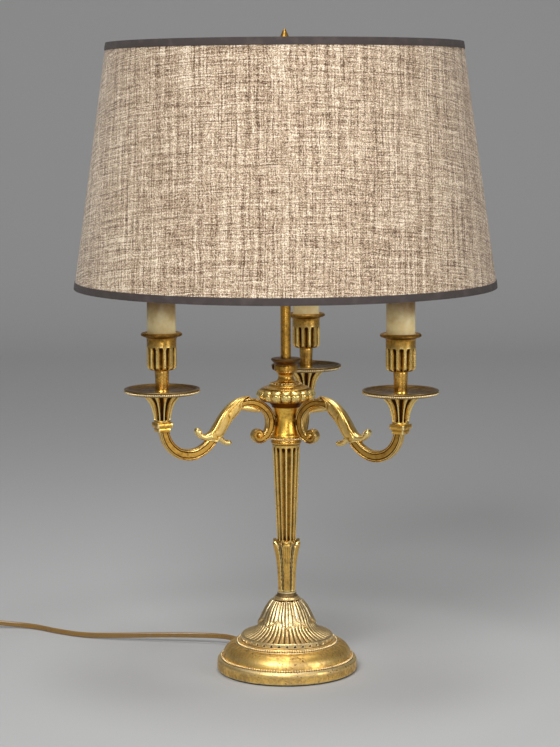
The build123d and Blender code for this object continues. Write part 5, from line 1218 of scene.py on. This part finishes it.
def buildShade(s):
    length = hypot(s["top"][0] - s["bottom"][0], s["top"][1] - s["bottom"][1])
    skin = -s["ribbonThick"]
    points, faces, flat = coneForm(s, *s["clothSpan"], skin - s["clothThick"], skin, -pi, pi, s["segments"], 40,
                                   wobble=0.05)
    lap = s["seamWidth"] / s["bottom"][0] / 2
    seamPoints, seamFaces, seamFlat = coneForm(s, *s["seamSpan"], skin - 0.1, skin + s["seamLift"], pi - lap,
                                               pi + lap, 8, 30, bulge=0.1)
    cloth = makePiece("linenSkin", [(points, faces), (seamPoints, seamFaces)], linenCloth, smooth=45,
                      fixNormals=False)
    layUv(cloth, "cloth", np.vstack([flat, seamFlat]))
    dress(cloth, "shade", "shade_fabric")
    share = s["ribbonHeight"] / length
    ribbons = []
    for name, low, high, node in (("ribbonBottom", 0.0, share, "shade_trim_bottom"),
                                  ("ribbonTop", 1 - share, 1.0, "shade_trim_top")):
        points, faces, flat = coneForm(s, low, high, skin + 0.02, 0.0, -pi, pi, s["segments"], 6, bulge=0.12)
        angle = np.arctan2(points[:, 0], -points[:, 1])
        around = np.column_stack([angle * s["ribbonTurn"] * mm, points[:, 2] * mm])
        ribbon = makePiece(name, [(points, faces)], edgeRibbon, smooth=45, fixNormals=False)
        layUv(ribbon, "cloth", around)
        ribbons.append(dress(ribbon, "shade", node))
    return cloth, ribbons


# cord: a flat twin flex standing on edge
def buildCord(s, line):
    segment = np.linalg.norm(np.diff(line, axis=0), axis=1)
    run = np.concatenate([[0], np.cumsum(segment)])
    along = np.gradient(line, axis=0)
    along /= np.linalg.norm(along, axis=1)[:, None]
    side = np.cross(along, (0, 0, 1))
    side /= np.linalg.norm(side, axis=1)[:, None]
    up = np.cross(side, along)
    # two round cores in section, each open where it meets the other
    r, gap = s["coreRadius"], s["coreGap"] / 2
    steps, openFrom, sweep = 8, -40, 260
    section = []
    for middle, first in ((gap, openFrom), (-gap, openFrom + 180)):
        for k in range(steps + 1):
            a = radians(first + sweep * k / steps)
            section.append((r * cos(a), middle + r * sin(a)))
    section = np.array(section) * mm
    ring = line[:, None, :] + section[None, :, :1] * side[:, None, :] + section[None, :, 1:] * up[:, None, :]
    count = len(section)
    flat = [(distance, k / count) for distance in run for k in range(count)]
    cord = makePiece("twinFlex", [(ring.reshape(-1, 3) / mm, tubeFaces(len(line), count))], goldFlex, smooth=50,
                     fixNormals=False)
    layUv(cord, "flex", flat)
    faceOutwards(cord.data)
    return cord


print("making the base")
buildFoot(footSettings)
buildBell(bellSettings)
buildCalyx(calyxSettings)
print("making the column and hub")
buildColumn(columnSettings)
buildHub(hubSettings)
buildRod()
print("making the arms and candles")
buildArms(armSettings)
buildCandles(candleSettings)
print("making the shade and cord")
linenSkin, ribbons = buildShade(shadeSettings)
twinFlex = dress(buildCord(cordSettings, cordLine), "stand", "power_cord", "cord_coil")

# CAD nodes that keep their shape take a finish here
nodeFinish = {
    "felt_pad": feltCloth, "tie_rod": zincSteel, "base_washer": zincSteel, "tie_rod_nuts": zincSteel,
    "clamp_collar": giltBrass, "lock_screw": darkBronze, "candle_nipples": zincSteel, "lampholders": blackThermoset,
    "cord_bush": switchPlastic, "inner_leads": leadInsulation, "shade_liner": shadeLiner,
    "shade_ring_bottom": whiteWire, "shade_spider": whiteWire, "switch_case": switchPlastic,
    "switch_rocker": rockerPlastic, "plug_body": switchPlastic, "plug_pins": platedPin, "cord_tie": cordTie,
}
for nodeName, finish in nodeFinish.items():
    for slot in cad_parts[nodeName].material_slots:
        slot.material = finish

for piece, body, nodes in dressed:
    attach(piece, body)
    if nodes:
        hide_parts(*nodes)
print("pieces:", len(dressed))

# studio: a pale floor that curves up into a backdrop, four soft lights
studioSettings = {
    "floorTone": 0.42, "wallTone": 0.62, "toneFrom": 900.0, "toneTo": 3400.0, "rough": 0.8, "world": 0.16,
    "front": -6.0, "bend": 2.6, "bendRadius": 1.4, "halfWidth": 6.0, "wallTop": 5.0, "aim": (0, 0, 0.3),
    "lights": [("keyLight", (-0.7, -2.0, 1.9), 1.25, 53), ("fillLight", (1.9, -1.5, 0.9), 1.2, 19),
               ("topLight", (0.1, -0.1, 2.3), 1.2, 22), ("lowLight", (0.2, -2.7, 0.5), 0.8, 6)],
}


def buildStudio(s):
    bend, r = s["bend"], s["bendRadius"]
    curve = [(bend + r * sin(a), r - r * cos(a)) for a in np.linspace(0.1, pi / 2, 16)]
    profile = [(s["front"], 0.0), (bend, 0.0)] + curve + [(bend + r, s["wallTop"])]
    points = [(x, y, z) for x in (-s["halfWidth"], s["halfWidth"]) for y, z in profile]
    count = len(profile)
    mesh = bpy.data.meshes.new("studioFloor")
    mesh.from_pydata(points, [], [[k, k + count, k + count + 1, k + 1] for k in range(count - 1)])
    mesh.shade_smooth()
    floor = bpy.data.objects.new("studioFloor", mesh)
    scene.collection.objects.link(floor)
    material = bpy.data.materials.new("studioFloor")
    material.use_nodes = True
    surface = material.node_tree.nodes["Principled BSDF"]
    tree = material.node_tree
    depth = addNode(tree, "ShaderNodeSeparateXYZ", {0: objectMillimetres(tree)}).outputs[1]
    far = stepBetween(depth, s["toneFrom"], s["toneTo"])
    tone = mixColour(far, (s["floorTone"],) * 3 + (1,), (s["wallTone"],) * 3 + (1,))
    tree.links.new(tone, surface.inputs["Base Color"])
    surface.inputs["Roughness"].default_value = s["rough"]
    mesh.materials.append(material)
    world = bpy.data.worlds.new("studioWorld")
    world.use_nodes = True
    world.node_tree.nodes["Background"].inputs[0].default_value = (s["world"],) * 3 + (1,)
    scene.world = world
    for name, place, size, power in s["lights"]:
        data = bpy.data.lights.new(name, "AREA")
        data.shape = "DISK"
        data.size = size
        data.energy = power
        light = bpy.data.objects.new(name, data)
        light.location = place
        aim = np.array(s["aim"]) - np.array(place)
        light.rotation_euler = (float(np.arctan2(hypot(aim[0], aim[1]), -aim[2])), 0,
                                float(np.arctan2(-aim[0], aim[1])))
        scene.collection.objects.link(light)


buildStudio(studioSettings)
print("scene ready")
